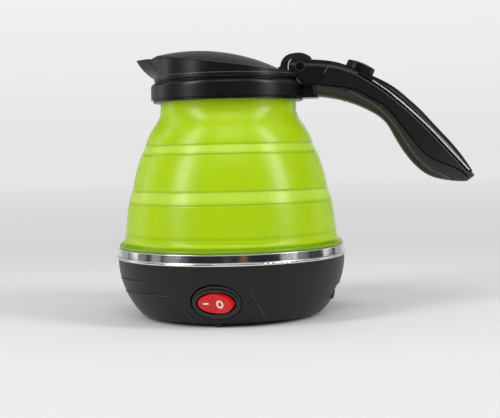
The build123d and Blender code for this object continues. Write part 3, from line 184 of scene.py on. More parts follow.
# %% Effect: moulded grain
# Grain is small bumps from a noise, in millimetres, and a slow change of gloss.
slow_scale = 40.0
grain, entry, leave = new_group(
    "Moulded grain",
    [
        ("Grain size mm", "NodeSocketFloat", 0.5),
        ("Depth mm", "NodeSocketFloat", 0.02),
        ("Roughness", "NodeSocketFloat", 0.4),
        ("Gloss change", "NodeSocketFloat", 0.05),
    ],
    [("Roughness", "NodeSocketFloat"), ("Normal", "NodeSocketVector")],
)
fine = noise(grain, calc(grain, "DIVIDE", 1 / MM, entry["Grain size mm"]), 2.0)
depth = calc(grain, "MULTIPLY", entry["Depth mm"], MM)
bump = node(grain, "ShaderNodeBump", inputs={"Strength": 1.0, "Distance": depth, "Height": fine})
centred = calc(grain, "SUBTRACT", noise(grain, slow_scale, 3.0), 0.5)
swing = calc(grain, "MULTIPLY", centred, entry["Gloss change"])
rough = calc(grain, "ADD", entry["Roughness"], swing, use_clamp=True)
grain.links.new(rough, leave["Roughness"])
grain.links.new(bump.outputs[0], leave["Normal"])

# %% Effect: soft tone variation
# Mixes two close tones over the surface, as pigment does in plastic and silicone.
tone, entry, leave = new_group(
    "Soft tone",
    [
        ("First", "NodeSocketColor", (0.5, 0.5, 0.5, 1)),
        ("Second", "NodeSocketColor", (0.5, 0.5, 0.5, 1)),
        ("Patch size mm", "NodeSocketFloat", 20.0),
    ],
    [("Color", "NodeSocketColor")],
)
patches = noise(tone, calc(tone, "DIVIDE", 1 / MM, entry["Patch size mm"]), 3.0)
tone.links.new(mixed(tone, patches, entry["First"], entry["Second"]), leave["Color"])


# %% A material from the shared effects
def grey(value):
    return (value, value, value)


def moulding(
    name, first, second, roughness, grain_mm, depth_mm, gloss_change=0.06, patch_mm=20, **shader
):
    """A moulded or pressed finish: two close tones, a grain and a slow change of gloss."""
    material = bpy.data.materials.new(name)
    material.use_nodes = True
    tree = material.node_tree
    principled = tree.nodes["Principled BSDF"]
    tones = node(
        tree,
        "ShaderNodeGroup",
        node_tree=tone,
        inputs={"First": (*first, 1), "Second": (*second, 1), "Patch size mm": patch_mm},
    )
    grains = node(
        tree,
        "ShaderNodeGroup",
        node_tree=grain,
        inputs={
            "Grain size mm": grain_mm,
            "Depth mm": depth_mm,
            "Roughness": roughness,
            "Gloss change": gloss_change,
        },
    )
    tree.links.new(tones.outputs["Color"], principled.inputs["Base Color"])
    tree.links.new(grains.outputs["Roughness"], principled.inputs["Roughness"])
    if depth_mm:
        tree.links.new(grains.outputs["Normal"], principled.inputs["Normal"])
    for socket, value in shader.items():
        principled.inputs[socket.replace("_", " ")].default_value = value
    return material


def finish_node(material, *names):
    """Gives CAD nodes a finish through their objects' own material slots."""
    for name in names:
        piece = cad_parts[name]
        if not piece.material_slots:
            piece.data.materials.append(None)
        for material_slot in piece.material_slots:
            material_slot.link = "OBJECT"
            material_slot.material = material
    print(material.name, "on", ", ".join(names))


# %% [markdown]
# ## The black mouldings
# The base is a warm near-black satin. The collar ring has a finer, matter spark-eroded
# texture, the lid dome the coarsest grain, and the handle the smoothest surface, which
# catches soft long highlights. One black for all would be simpler, but the photograph
# tells the mouldings apart by their gloss alone, so each gets its own.

# %% Blacks of the base
# After the two tones, each finish gives its roughness and its grain's size and depth.
base_black = moulding(
    "base_satin_black", (0.0075, 0.0068, 0.0062), (0.0105, 0.0095, 0.0088),
    roughness=0.40, grain_mm=0.35, depth_mm=0.004, Specular_IOR_Level=0.3,
)
under_black = moulding(
    "underside_black", grey(0.012), grey(0.018), roughness=0.6, grain_mm=0.6, depth_mm=0.02
)
switch_black = moulding(
    "switch_black", (0.008, 0.0078, 0.0072), (0.012, 0.0115, 0.011),
    roughness=0.34, grain_mm=0.4, depth_mm=0.004,
)
foot_rubber = moulding(
    "foot_rubber", grey(0.006), grey(0.01), roughness=0.7, grain_mm=0.4, depth_mm=0.01
)
finish_node(base_black, "base_housing")
finish_node(under_black, "base_plate", "power_inlet")
finish_node(switch_black, "switch_body")
finish_node(foot_rubber, "feet")

# %% Blacks of the collar, the lid and the handle
collar_black = moulding(
    "collar_textured_black", grey(0.0026), grey(0.005),
    roughness=0.31, grain_mm=0.7, depth_mm=0.02, Specular_IOR_Level=0.36,
)
lid_grained = moulding(
    "lid_grained_black", grey(0.003), grey(0.03),
    roughness=0.42, grain_mm=1.7, depth_mm=0.12, patch_mm=2.2, Specular_IOR_Level=0.2,
)
liner_black = moulding(
    "liner_black", grey(0.01), grey(0.016), roughness=0.5, grain_mm=0.6, depth_mm=0.01
)
handle_black = moulding(
    "handle_satin_black", (0.0035, 0.0034, 0.0034), grey(0.006),
    roughness=0.30, grain_mm=0.3, depth_mm=0.002,
)
strip_black = moulding(
    "strip_gloss_black", grey(0.003), grey(0.005),
    roughness=0.32, grain_mm=1.5, depth_mm=0.0, gloss_change=0.03, Specular_IOR_Level=0.16,
)
grip_black = moulding(
    "grip_soft_black", (0.0075, 0.0075, 0.007), (0.011, 0.011, 0.010),
    roughness=0.44, grain_mm=0.3, depth_mm=0.004,
)
finish_node(collar_black, "collar", "neck_clamp_ring")
finish_node(lid_grained, "lid_cover")
finish_node(liner_black, "lid_liner")
finish_node(handle_black, "handle_upper_shell")
finish_node(strip_black, "handle_back_strip", "lid_button")
finish_node(grip_black, "handle_lower_shell")

# %% [markdown]
# ## Metals and small parts
# The bright band and the pan are one polished pressing. The clamp ring, screws and pin
# are plainer steel, and the spreader under the pan is aluminium. All are the same shader
# with Metallic at 1, because one metal differs from the next in its tone and its polish.
# Each gives its roughness and its grain's size and depth after its two tones.


# %% Metals
def metal(name, first, second, roughness, grain_mm, depth_mm, gloss_change=0.1, patch_mm=6):
    """A metal finish, with broader changes of gloss than a plastic's."""
    return moulding(
        name, first, second, roughness, grain_mm, depth_mm, gloss_change, patch_mm, Metallic=1.0
    )


polished = metal("polished_steel", (0.72, 0.72, 0.73), (0.8, 0.8, 0.81), 0.12, 3.0, 0.0, patch_mm=8)
plain_steel = metal("plain_steel", (0.5, 0.5, 0.51), (0.6, 0.6, 0.61), 0.32, 0.6, 0.004)
mill_aluminium = metal("mill_aluminium", (0.6, 0.6, 0.61), (0.7, 0.7, 0.71), 0.4, 0.8, 0.006)
plated_brass = metal(
    "plated_brass", (0.6, 0.46, 0.2), (0.72, 0.56, 0.28), 0.28, 0.6, 0.003, patch_mm=4
)
tube_steel = metal("sheath_steel", grey(0.2), (0.34, 0.33, 0.32), 0.42, 0.8, 0.006)
blackened_steel = metal(
    "blackened_steel", (0.02, 0.02, 0.021), (0.035, 0.035, 0.036), 0.3, 0.4, 0.003, 0.06, 20
)
finish_node(polished, "steel_pan")
finish_node(blackened_steel, "hinge_pin")
finish_node(plain_steel, "lower_clamp_ring", "base_screws", "handle_screws", "lid_screws")
finish_node(plain_steel, "lid_spring", "button_spring")
finish_node(mill_aluminium, "heat_spreader")
finish_node(tube_steel, "heating_element")
finish_node(plated_brass, "inlet_pins")

# %% Small coloured and pale parts
rocker_red = moulding(
    "rocker_red", (0.60, 0.004, 0.004), (0.66, 0.007, 0.006),
    roughness=0.16, grain_mm=0.8, depth_mm=0.001, gloss_change=0.04, patch_mm=8,
)
pale_ceramic = moulding(
    "pale_ceramic", (0.6, 0.58, 0.52), (0.7, 0.68, 0.62),
    roughness=0.5, grain_mm=0.5, depth_mm=0.01,
)
natural_acetal = moulding(
    "natural_acetal", (0.6, 0.6, 0.57), (0.68, 0.68, 0.65),
    roughness=0.4, grain_mm=0.5, depth_mm=0.004,
)
pale_seal = moulding(
    "pale_seal", (0.5, 0.5, 0.48), (0.58, 0.58, 0.56),
    roughness=0.5, grain_mm=0.5, depth_mm=0.004,
)
finish_node(pale_ceramic, "thermostat", "thermal_fuse")
finish_node(natural_acetal, "latch_slider")
finish_node(pale_seal, "lid_seal")
finish_node(rocker_red, "switch_rocker")

# %% [markdown]
# ### The marks on the rocker
# A rocker switch has a bar for on and a ring for off printed on its face. They could be
# thin solids, but print has no thickness, so it is part of the finish: a mask in the
# rocker's own plane, which a Mapping node finds from its place and its tilt. The marks
# ride on the rocker when it tips.

# %% The rocker's own plane, and the marks' sizes in millimetres
switch_centre = (0.0, -55.9 * MM, 13.5 * MM)
switch_tilt = radians(20)
bar_centre, bar_half = -5.3, (1.45, 0.45)
ring_centre, ring_half, ring_bore_share = 1.9, (1.8, 2.15), 0.58
mark_tone = (0.85, 0.83, 0.82)
tree = rocker_red.node_tree
where = node(tree, "ShaderNodeTexCoord")
in_plane = node(
    tree,
    "ShaderNodeMapping",
    vector_type="TEXTURE",
    inputs={
        "Vector": where.outputs["Object"],
        "Location": switch_centre,
        "Rotation": (pi / 2 + switch_tilt, 0, 0),
        "Scale": (MM, MM, MM),
    },
)
across = node(tree, "ShaderNodeSeparateXYZ", inputs={0: in_plane.outputs[0]})
print("rocker face at", switch_centre)


def shares(centre, half):
    """How far a point lies from a mark's centre, sideways and upwards, where 1 is its edge."""
    offs = (calc(tree, "SUBTRACT", across.outputs["X"], centre), across.outputs["Y"])
    return [calc(tree, "DIVIDE", off, size) for off, size in zip(offs, half)]


# %% Rocker marks
ring_x, ring_y = shares(ring_centre, ring_half)
joined = node(tree, "ShaderNodeCombineXYZ", inputs={"X": ring_x, "Y": ring_y})
length = node(tree, "ShaderNodeVectorMath", operation="LENGTH", inputs={0: joined.outputs[0]})
reach = length.outputs["Value"]
outside_bore = ramp(tree, reach, ring_bore_share - 0.05, ring_bore_share + 0.05)
ring_mask = calc(tree, "MULTIPLY", ramp(tree, reach, 1.06, 0.96), outside_bore)
bar_x, bar_y = [calc(tree, "ABSOLUTE", share) for share in shares(bar_centre, bar_half)]
bar_mask = calc(tree, "MULTIPLY", ramp(tree, bar_x, 1.05, 0.95), ramp(tree, bar_y, 1.15, 0.85))
mark_mask = calc(tree, "MAXIMUM", ring_mask, bar_mask)
colour_socket = tree.nodes["Principled BSDF"].inputs["Base Color"]
marked = mixed(tree, mark_mask, colour_socket.links[0].from_socket, mark_tone)
tree.links.new(marked, colour_socket)
print("rocker marks: bar", bar_half, "ring", ring_half)

# %% [markdown]
# ## The silicone body
# The body is one moulding of soft silicone, thick at its foot and thin at its two fold
# lines. It stays with the base at its foot and rises with the collar at its neck, and in
# between it rolls inside out. The frame holds it as three plain tiers. A cloth simulation
# could fold it, but would wrinkle it too. Here it is one sleeve, spun from a profile, in
# place of the three tiers.


# %% Profile helpers
def straight_points(first, last, count):
    """Points on a straight run, the first left out."""
    a, b = Vector(first), Vector(last)
    return [tuple(a.lerp(b, step / count)) for step in range(1, count + 1)]


def arc_points(first, middle, last, count):
    """Points of the arc through three points, the first left out."""
    (ax, az), (bx, bz), (cx, cz) = first, middle, last
    double = 2 * (ax * (bz - cz) + bx * (cz - az) + cx * (az - bz))
    square_a, square_b, square_c = ax * ax + az * az, bx * bx + bz * bz, cx * cx + cz * cz
    ox = (square_a * (bz - cz) + square_b * (cz - az) + square_c * (az - bz)) / double
    oz = (square_a * (cx - bx) + square_b * (ax - cx) + square_c * (bx - ax)) / double
    centre = Vector((ox, oz))
    start, end = Vector(first) - centre, Vector(last) - centre
    turn = -start.angle_signed(end)
    return [
        tuple(centre + Matrix.Rotation(turn * step / count, 2) @ start)
        for step in range(1, count + 1)
    ]


def smooth_points(first, lean_first, last, lean_last, count, pull):
    """Points of a smooth curve that leaves and arrives at the given leans, the first left out."""
    a, d = Vector(first), Vector(last)
    b = a + Vector((cos(lean_first), sin(lean_first))) * pull
    c = d - Vector((cos(lean_last), sin(lean_last))) * pull
    return [
        tuple(a * (1 - t) ** 3 + b * 3 * t * (1 - t) ** 2 + c * 3 * t * t * (1 - t) + d * t**3)
        for t in (step / count for step in range(1, count + 1))
    ]


# %% The sleeve's profile, in millimetres: radius and height
wall = 2.0
outer = [(61.4, 38.3), (61.4, 39.5)]
outer += smooth_points((61.4, 39.5), radians(128), (58.4, 43.2), radians(97), 8, 1.4)
outer += straight_points((58.4, 43.2), (56.0, 62.1), 12)
outer += straight_points((56.0, 62.1), (53.7, 69.0), 6)
outer += arc_points((53.7, 69.0), (51.5, 78.55), (48.3, 88.1), 14)
outer += straight_points((48.3, 88.1), (46.0, 93.1), 5)
outer += smooth_points((46.0, 93.1), radians(104), (42.4, 101.5), radians(121), 8, 3.2)
outer += smooth_points((42.4, 101.5), radians(121), (37.2, 112.1), radians(92), 10, 4.2)
outer += straight_points((37.2, 112.1), (37.2, 123.1), 5)
fold_heights = (62.1, 69.0, 88.1, 93.1)
crease_depth, crease_half = 0.28, 0.5
near_fold, fine_step, coarse_step = 2, 0.22, 1.2


def creased(points):
    """The profile with a small groove let into it at each fold line."""
    dense = [points[0]]
    for first, last in zip(points, points[1:]):
        low, high = first[1] - near_fold, last[1] + near_fold
        near = any(low < fold < high for fold in fold_heights)
        count = round((Vector(last) - Vector(first)).length / (fine_step if near else coarse_step))
        dense += straight_points(first, last, max(1, count))
    grooved = []
    for radius, z in dense:
        dips = [max(0.0, 1 - ((z - fold) / crease_half) ** 2) ** 2 for fold in fold_heights]
        grooved.append((radius - crease_depth * sum(dips), z))
    return grooved


outer_wall = creased(outer)
inner_wall = [(53.8, 38.3), (53.8, 40.3), (56.4, 40.6)]
inner_wall += [(radius - wall, z) for radius, z in outer if z > 42.5]
print("sleeve profile points:", len(outer_wall) + len(inner_wall))


# %% Spin a mesh and place it
def spin_round(mesh, steps):
    """Spins all of a bmesh once round Z, closes the seam and points the faces outwards."""
    bmesh.ops.spin(
        mesh,
        geom=mesh.verts[:] + mesh.edges[:],
        cent=(0, 0, 0),
        axis=(0, 0, 1),
        angle=2 * pi,
        steps=steps,
        use_merge=True,
    )
    bmesh.ops.remove_doubles(mesh, verts=mesh.verts, dist=1e-7)
    bmesh.ops.recalc_face_normals(mesh, faces=mesh.faces)


def placed(name, mesh, smooth=True):
    """Puts a finished bmesh into the scene as an object at the origin."""
    for face in mesh.faces:
        face.smooth = smooth
    data = bpy.data.meshes.new(name)
    mesh.to_mesh(data)
    mesh.free()
    piece = bpy.data.objects.new(name, data)
    bpy.context.scene.collection.objects.link(piece)
    print(name, "faces:", len(data.polygons))
    return piece


# %% The sleeve
# The way along the profile, in millimetres, rides along as the UV map's V.
sleeve_steps = 192
sleeve_mesh = bmesh.new()
run_layer = sleeve_mesh.verts.layers.float.new("run")
profile = outer_wall + inner_wall[::-1]
points = [sleeve_mesh.verts.new((radius * MM, 0, z * MM)) for radius, z in profile]
run = 0.0
for first, last in zip(points, points[1:]):
    run += (last.co - first.co).length
    last[run_layer] = run
for pair in zip(points, points[1:] + points[:1]):
    sleeve_mesh.edges.new(pair)
spin_round(sleeve_mesh, sleeve_steps)
uv = sleeve_mesh.loops.layers.uv.new("profile")
for face in sleeve_mesh.faces:
    for corner in face.loops:
        corner[uv].uv = (0.5, corner.vert[run_layer] / MM)
sleeve = placed("silicone_sleeve", sleeve_mesh)

# %% [markdown]
# ### Silicone
# Silicone is satin and a little translucent: light goes some way in, so its shadows are
# green and its edges glow. The fold lines are painted darker, as painted shade for their
# grooves, and the ledges between them are painted paler, as a painted highlight where they
# lean up to the light from above. The foot's flare and a crease above it get painted shade
# too. These marks could be found by height, but would then stay behind when the body
# collapses, so they are found along the profile, from the UV map.


# %% Fold lines along the profile
def run_at(height):
    """How far along the outer profile a height lies, in millimetres."""
    run = 0.0
    for first, last in zip(outer_wall, outer_wall[1:]):
        run += (Vector(last) - Vector(first)).length
        if last[1] >= height and last[1] > first[1]:
            break
    return run


fold_runs = [run_at(fold) for fold in fold_heights]
print("folds lie at", [round(run, 1) for run in fold_runs], "mm along the profile")

lines, entry, leave = new_group(
    "Lines along the profile",
    [("Run", "NodeSocketFloat", 0.0), ("Half width", "NodeSocketFloat", 0.6)]
    + [(f"Line {number}", "NodeSocketFloat", 0.0) for number in range(1, 5)],
    [("Mask", "NodeSocketFloat")],
)
mask = 0.0
for number in range(1, 5):
    off = calc(lines, "SUBTRACT", entry["Run"], entry[f"Line {number}"])
    share = calc(lines, "DIVIDE", off, entry["Half width"])
    square = calc(lines, "MULTIPLY", share, share)
    mask = calc(lines, "MAXIMUM", mask, calc(lines, "SUBTRACT", 1.0, square, use_clamp=True))
lines.links.new(mask, leave["Mask"])

# %% Silicone material
silicone = moulding(
    "lime_silicone", (0.36, 0.565, 0.0), (0.405, 0.585, 0.001),
    roughness=0.27, grain_mm=0.8, depth_mm=0.003, patch_mm=30,
    Subsurface_Weight=0.3, Subsurface_Scale=0.004, Subsurface_Radius=(0.6, 1.0, 0.1), IOR=1.41,
)
tree = silicone.node_tree
colour_socket = tree.nodes["Principled BSDF"].inputs["Base Color"]
uv_map = node(tree, "ShaderNodeUVMap", uv_map="profile")
along = node(tree, "ShaderNodeSeparateXYZ", inputs={0: uv_map.outputs[0]}).outputs["Y"]
folds = node(
    tree,
    "ShaderNodeGroup",
    node_tree=lines,
    inputs={
        "Run": along,
        "Half width": 1.1,
        **{f"Line {number}": run for number, run in enumerate(fold_runs, 1)},
    },
)


def run_mask(low, high, soft):
    """A mask that is 1 between two places along the profile, with soft ends, in millimetres."""
    start = ramp(tree, along, low - soft, low + soft, "SMOOTHSTEP")
    end = ramp(tree, along, high + soft, high - soft, "SMOOTHSTEP")
    return calc(tree, "MULTIPLY", start, end)


print(silicone.name, "nodes:", len(tree.nodes))

# %% Painted light and shade: paler ledges, darker folds, foot and crease
# The ledges between the folds lean up to the light from above: a painted highlight.
painted_ledge_light = (0.60, 0.78, 0.12)
# The fold grooves are in shade: a painted shade.
painted_fold_shade = (0.2, 0.38, 0.0)
# The foot's flare, and the crease just above it, are in shade: a painted shade.
shade = (0.13, 0.26, 0.0)
body_colour = colour_socket.links[0].from_socket
for tint_mask, strength, tint in (
    (run_mask(fold_runs[0] + 1.6, fold_runs[1], 1.5), 0.36, painted_ledge_light),
    (run_mask(fold_runs[2] + 1.0, fold_runs[3], 1.2), 0.36, painted_ledge_light),
    (folds.outputs["Mask"], 0.42, painted_fold_shade),
    (run_mask(-1.0, run_at(41.2), 0.8), 0.8, shade),
    (run_mask(run_at(44.3), run_at(44.8), 0.3), 0.22, shade),
):
    body_colour = mixed(tree, calc(tree, "MULTIPLY", tint_mask, strength), body_colour, tint)
tree.links.new(body_colour, colour_socket)
print(silicone.name, "nodes with its tints:", len(tree.nodes))
sleeve.data.materials.append(silicone)
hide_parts("silicone_lower_tier", "silicone_middle_tier", "silicone_upper_tier")
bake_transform(sleeve)

# %% [markdown]
# ## Lines along the handle
# Two shells and a back strip meet along the handle, and the soft grip has a raised crease.
# These lines are less than a millimetre wide. Painted, they would catch no light, so they
# are fine beads that lie on the handle's sides. Their colours carry painted light as well:
# the paler beads are a painted highlight, and the near-black ones a painted shade in the
# seam and the gap. Each is drawn as a smooth curve in the side view. A ray along Y finds
# the handle's real surface under each of its points, and the same is done on the far side.


# %% Curve through points
def curve_through(points, count=10):
    """A smooth curve through all the points, with count steps between each two."""
    ends = [
        tuple(2 * a - b for a, b in zip(points[0], points[1])),
        *points,
        tuple(2 * a - b for a, b in zip(points[-1], points[-2])),
    ]
    curve = []
    for places in zip(ends, ends[1:], ends[2:], ends[3:]):
        p, a, b, n = [Vector(place) for place in places]
        for s in (step / count for step in range(count)):
            lean = (b - p) * (s / 2)
            bend = (p * 2 - a * 5 + b * 4 - n) * (s * s / 2)
            curve.append(a + lean + bend + (a * 3 - b * 3 + n - p) * (s**3 / 2))
    return curve + [Vector(points[-1])]


# %% The surface under a line
# The rays start outside the handle. A bead passes over small steps in the surface, because
# each depth is evened out with the few on either side of it.
ray_start = 80 * MM
evening = 3


def evened(values, pick):
    """Each value replaced by a pick from the values round it."""
    spans = [(max(0, index - evening), index + evening + 1) for index in range(len(values))]
    return [pick(values[start:end]) for start, end in spans]


def mean(values):
    return sum(values) / len(values)


def surface_line(places, solids, side, lift):
    """Points over the solids' surface on one side, under places in the XZ view, in mm."""
    inward = Vector((0, -side, 0))
    starts, depths = [], []
    for place in curve_through(places):
        start = Vector((place.x * MM, side * ray_start, place.y * MM))
        hits = [solid.ray_cast(start, inward) for solid in solids]
        found = [hit[3] for hit in hits if hit[0] is not None]
        if found:
            starts.append(start)
            depths.append(min(found))
    depths = evened(evened(depths, min), mean)
    return [start + inward * (depth - lift * MM) for start, depth in zip(starts, depths)]


# %% Round wires
def wire(name, paths, radius):
    """A round wire along each path, as one mesh object. The radius is in millimetres."""
    curve = bpy.data.curves.new(name, "CURVE")
    curve.dimensions = "3D"
    curve.bevel_depth = radius * MM
    curve.bevel_resolution = 2
    curve.use_fill_caps = True
    for path in paths:
        spline = curve.splines.new("POLY")
        spline.points.add(len(path) - 1)
        for point, spot in zip(spline.points, path):
            point.co = (*spot, 1)
    drawn = bpy.data.objects.new(name + "_curve", curve)
    bpy.context.scene.collection.objects.link(drawn)
    data = bpy.data.meshes.new_from_object(drawn)
    bpy.data.objects.remove(drawn)
    data.name = name
    data.materials.clear()
    for face in data.polygons:
        face.use_smooth = True
    piece = bpy.data.objects.new(name, data)
    bpy.context.scene.collection.objects.link(piece)
    print(name, "faces:", len(data.polygons))
    return piece


def dress(piece, material, body=None):
    """Gives a piece its finish and the body that it rides on."""
    piece.data.materials.append(material)
    if body:
        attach(piece, body)
    return piece


def bead(name, places, nodes, radius, lift, material, body="collar"):
    """A fine round line on the front and the back, along places in the XZ view, in mm."""
    depsgraph = bpy.context.evaluated_depsgraph_get()
    solids = [BVHTree.FromObject(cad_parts[node_name], depsgraph) for node_name in nodes]
    paths = [surface_line(places, solids, side, lift) for side in (-1, 1)]
    return dress(wire(name, paths, radius), material, body)


# %% Where the handle's lines run
parting_places = [
    (51.5, 123.6), (64.3, 122.0), (74.5, 118.6), (84.2, 112.7), (91.3, 105.2), (97.0, 97.5),
    (103.0, 89.7), (109.4, 83.5), (118.5, 79.6), (124.5, 76.6), (128.3, 73.0),
]
crease_places = [
    (66.5, 119.9), (73.3, 116.3), (78.4, 113.2), (82.8, 109.8), (86.9, 105.6), (91.4, 99.8),
    (95.9, 92.6), (100.2, 86.0), (104.9, 80.6), (109.2, 77.2), (114.0, 74.9), (118.6, 72.6),
    (120.6, 71.4),
]
edge_places = [
    (72.0, 130.0), (79.4, 125.5), (88.4, 118.9), (98.4, 110.2), (108.9, 99.8), (119.2, 88.4),
    (129.2, 77.2),
]


def beside(places, off):
    """The same line moved square to its own direction, off millimetres down and inwards."""
    moved = []
    for place, first, last in zip(places, [places[0], *places], [*places[1:], places[-1]]):
        way = (Vector(last) - Vector(first)).normalized()
        moved.append((place[0] + way.y * off, place[1] - way.x * off))
    return moved


print("the strip's edge runs from", edge_places[0], "to", edge_places[-1])

# %% Parting line, grip crease and strip edges
# After the solids that carry it, each bead gives its radius and its lift off the surface.
# Near-black and almost without gloss: painted shade for the parting line and the strip's gap.
seam_gap_painted_shade = moulding(
    "seam_gap_painted_shade", grey(0.0008), grey(0.0012),
    roughness=0.8, grain_mm=0.5, depth_mm=0.002, Specular_IOR_Level=0.05,
)
# A paler black than the handle: a painted highlight on the grip's crease, the shell's edge and the
# pin hole's rim.
painted_line_light = moulding(
    "grip_crease_painted_light", (0.035, 0.036, 0.028), (0.05, 0.05, 0.04),
    roughness=0.45, grain_mm=0.4, depth_mm=0.0,
)
# A pale grey on black plastic: a painted glint on the strip's edge and the cheek's nose.
painted_glint_grey = moulding(
    "strip_edge_painted_glint", (0.5, 0.5, 0.505), grey(0.56),
    roughness=0.42, grain_mm=0.5, depth_mm=0.0, Specular_IOR_Level=0.5,
)
upper, lower, strip = ("handle_upper_shell",), ("handle_lower_shell",), ("handle_back_strip",)
strip_line = beside(edge_places[1:], 0.4)
gap_line, shell_line = beside(edge_places, 1.3), beside(edge_places, 2.15)
plastic = "handle_plastic"
bead("handle_parting_line", parting_places, upper + lower, 0.32, -0.1, seam_gap_painted_shade)
bead("grip_crease_line", crease_places, lower, 0.45, -0.02, painted_line_light)
bead("strip_edge_line", strip_line, upper + strip, 0.4, 0.0, painted_glint_grey)
# A near-black bead sunk in the groove: painted shade for the strip's gap.
bead("strip_gap_shade_line", gap_line, upper, 0.7, -0.42, seam_gap_painted_shade)
bead("shell_edge_line", shell_line, upper, 0.34, 0.0, painted_line_light)

# %% [markdown]
# ### Lines on the base
# The tub has fine styling lines cut into its side. Their lower edge catches the light and
# shows a hair brighter than the satin round it. A bevel on the groove would show under light
# from one side only, so each groove gets a bead of a slightly paler black that lies in it:
# a painted highlight.

# %% Lines on the base
# A paler black than the satin: a painted highlight on each groove's lower edge.
painted_groove_light = moulding(
    "base_line_painted_light", (0.05, 0.049, 0.047), (0.065, 0.064, 0.062),
    roughness=0.45, grain_mm=0.5, depth_mm=0.0,
)
base_lines = {
    "housing_upper_line": [(-55.5, 23.1), (-51.0, 23.0), (-46.5, 22.9), (-35.9, 22.8)],
    "housing_lower_line": [
        (-54.5, 15.7), (-50.0, 15.9), (-38.4, 16.4), (-27.8, 16.7),
        (-23.8, 15.9), (-20.7, 13.4), (-16.6, 8.4), (-12.6, 3.8),
    ],
    "housing_right_line": [(17.4, 20.3), (19.1, 16.2), (20.8, 12.2), (22.8, 7.7), (24.2, 3.8)],
}
for name, places in base_lines.items():
    bead(name, places, ("base_housing",), 0.16, 0.1, painted_groove_light, "base")

# %% [markdown]
# ## Glossy edges round the mouth and the band
# The collar's shoulder and the lid's rim are polished by their moulds to a fine bright
# edge, though the faces beside them are textured. Their rings are a paler black than those
# faces as well, which is in part a painted highlight. The steel band is rolled over at its
# top and at its foot, and both rolls shine as thin lines. A bevel on the frame's own parts
# would change them, so each edge is a thin ring: a small circle spun round the axis of the
# part that carries it. The dark line under the lid's edge is a near-black ring, painted
# shade for the gap below it.


# %% Ring beads
ring_steps, ring_corners = 160, 10


def ring_bead(name, height, normal, ring_r, bead_r, body, material):
    """A thin ring of round section at a height on the kettle's axis, in millimetres."""
    mesh = bmesh.new()
    circle = bmesh.ops.create_circle(mesh, segments=ring_corners, radius=bead_r * MM)
    section = circle["verts"]
    upright = Matrix.Rotation(pi / 2, 3, "X")
    bmesh.ops.rotate(mesh, verts=section, cent=(0, 0, 0), matrix=upright)
    bmesh.ops.translate(mesh, verts=section, vec=(ring_r * MM, 0, 0))
    spin_round(mesh, ring_steps)
    turn = Vector((0, 0, 1)).rotation_difference(Vector(normal)).to_matrix()
    bmesh.ops.rotate(mesh, verts=mesh.verts, cent=(0, 0, 0), matrix=turn)
    bmesh.ops.translate(mesh, verts=mesh.verts, vec=(0, 0, height * MM))
    return dress(placed(name, mesh), material, body)


# %% Shoulder, band and lid edges
level, lid_normal = (0, 0, 1), (0.1288, 0.0, 0.9917)
# A glossier and paler black than the faces beside it: partly a painted highlight.
gloss_and_painted_light_black = moulding(
    "gloss_edge_painted_light_black", grey(0.03), grey(0.045),
    roughness=0.3, grain_mm=0.8, depth_mm=0.0, Specular_IOR_Level=0.7,
)
band_edge = moulding(
    "band_edge_steel", (0.72, 0.71, 0.68), (0.8, 0.79, 0.76),
    roughness=0.3, grain_mm=2.0, depth_mm=0.0, Metallic=1.0,
)
for name, height, normal, ring_r, bead_r, body, material, slot in (
    ("collar_shoulder_edge", 130.0, level, 40.05, 0.3, "collar", gloss_and_painted_light_black, "collar_plastic"),
    ("band_top_edge", 37.9, level, 61.5, 0.35, "base", band_edge, "pan_steel"),
    ("band_foot_edge", 33.75, level, 62.4, 0.42, "base", band_edge, "pan_steel"),
    ("lid_edge", 135.4, lid_normal, 38.9, 0.2, "lid", gloss_and_painted_light_black, "lid_plastic"),
    # Near-black: painted shade for the gap under the lid's edge.
    ("lid_shadow_line", 134.85, lid_normal, 38.8, 0.36, "lid", seam_gap_painted_shade, "lid_plastic"),
):
    ring_bead(name, height, normal, ring_r, bead_r, body, material)

# %% [markdown]
# ## Light edges at the hinge
# The cheeks that hold the lid's pin are crisp where their mould closes: the nose, the jaw,
# the seam to the handle's shell and the rim of the pin's hole each catch a thin line of
# light. The lines are the same fine beads, placed from the pin's own centre, so that they
# sit right wherever the frame puts the pin. Their greys are paler than the black round
# them, a painted highlight.


# %% Places round the hinge pin
def middle_and_size(name):
    low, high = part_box(name)
    return (Vector(low) + Vector(high)) / 2 / MM, (Vector(high) - Vector(low)) / MM


pin_middle = middle_and_size("hinge_pin")[0]
nose_r, pin_rim_r = 6.3, 2.5
print("hinge pin at", [round(value, 2) for value in pin_middle])


def from_pin(places):
    """Places in the XZ view, given from the pin's centre, in millimetres."""
    return [(pin_middle.x + x, pin_middle.z + z) for x, z in places]


def round_pin(radius, start, end, count):
    """Places on an arc round the pin, between two angles in degrees."""
    turns = [radians(start + (end - start) * step / count) for step in range(count + 1)]
    return from_pin([(radius * cos(turn), radius * sin(turn)) for turn in turns])


# %% Hinge edges
# Paler greys than the cheek's black: a painted highlight on each edge.
painted_cheek_light = moulding(
    "cheek_line_painted_light", grey(0.12), grey(0.16),
    roughness=0.35, grain_mm=0.5, depth_mm=0.0, Specular_IOR_Level=0.6,
)
nose, rim = round_pin(nose_r, 141, 197, 5), round_pin(pin_rim_r, 0, 360, 16)
jaw, seam = from_pin([(-2.0, -6.4), (0.1, -9.3)]), from_pin([(15.0, -0.3), (10.7, -8.0)])
cheek, plastic = ("collar",), "collar_plastic"
bead("cheek_nose_edge", nose, cheek, 0.2, 0.0, painted_glint_grey)
bead("cheek_jaw_edge", jaw, cheek, 0.2, 0.0, painted_cheek_light)
bead("cheek_seam_edge", seam, cheek + upper, 0.16, 0.0, painted_cheek_light)
bead("pin_hole_edge", rim, cheek, 0.12, 0.0, painted_line_light)

# %% [markdown]
# ## Springs
# The frame holds each spring as a plain tube, for its place and its mass. A real one is a
# coil of wire. A Screw modifier could make it, but a wire along a helix keeps its ends
# closed, so each tube is replaced by such a wire round the same axis.

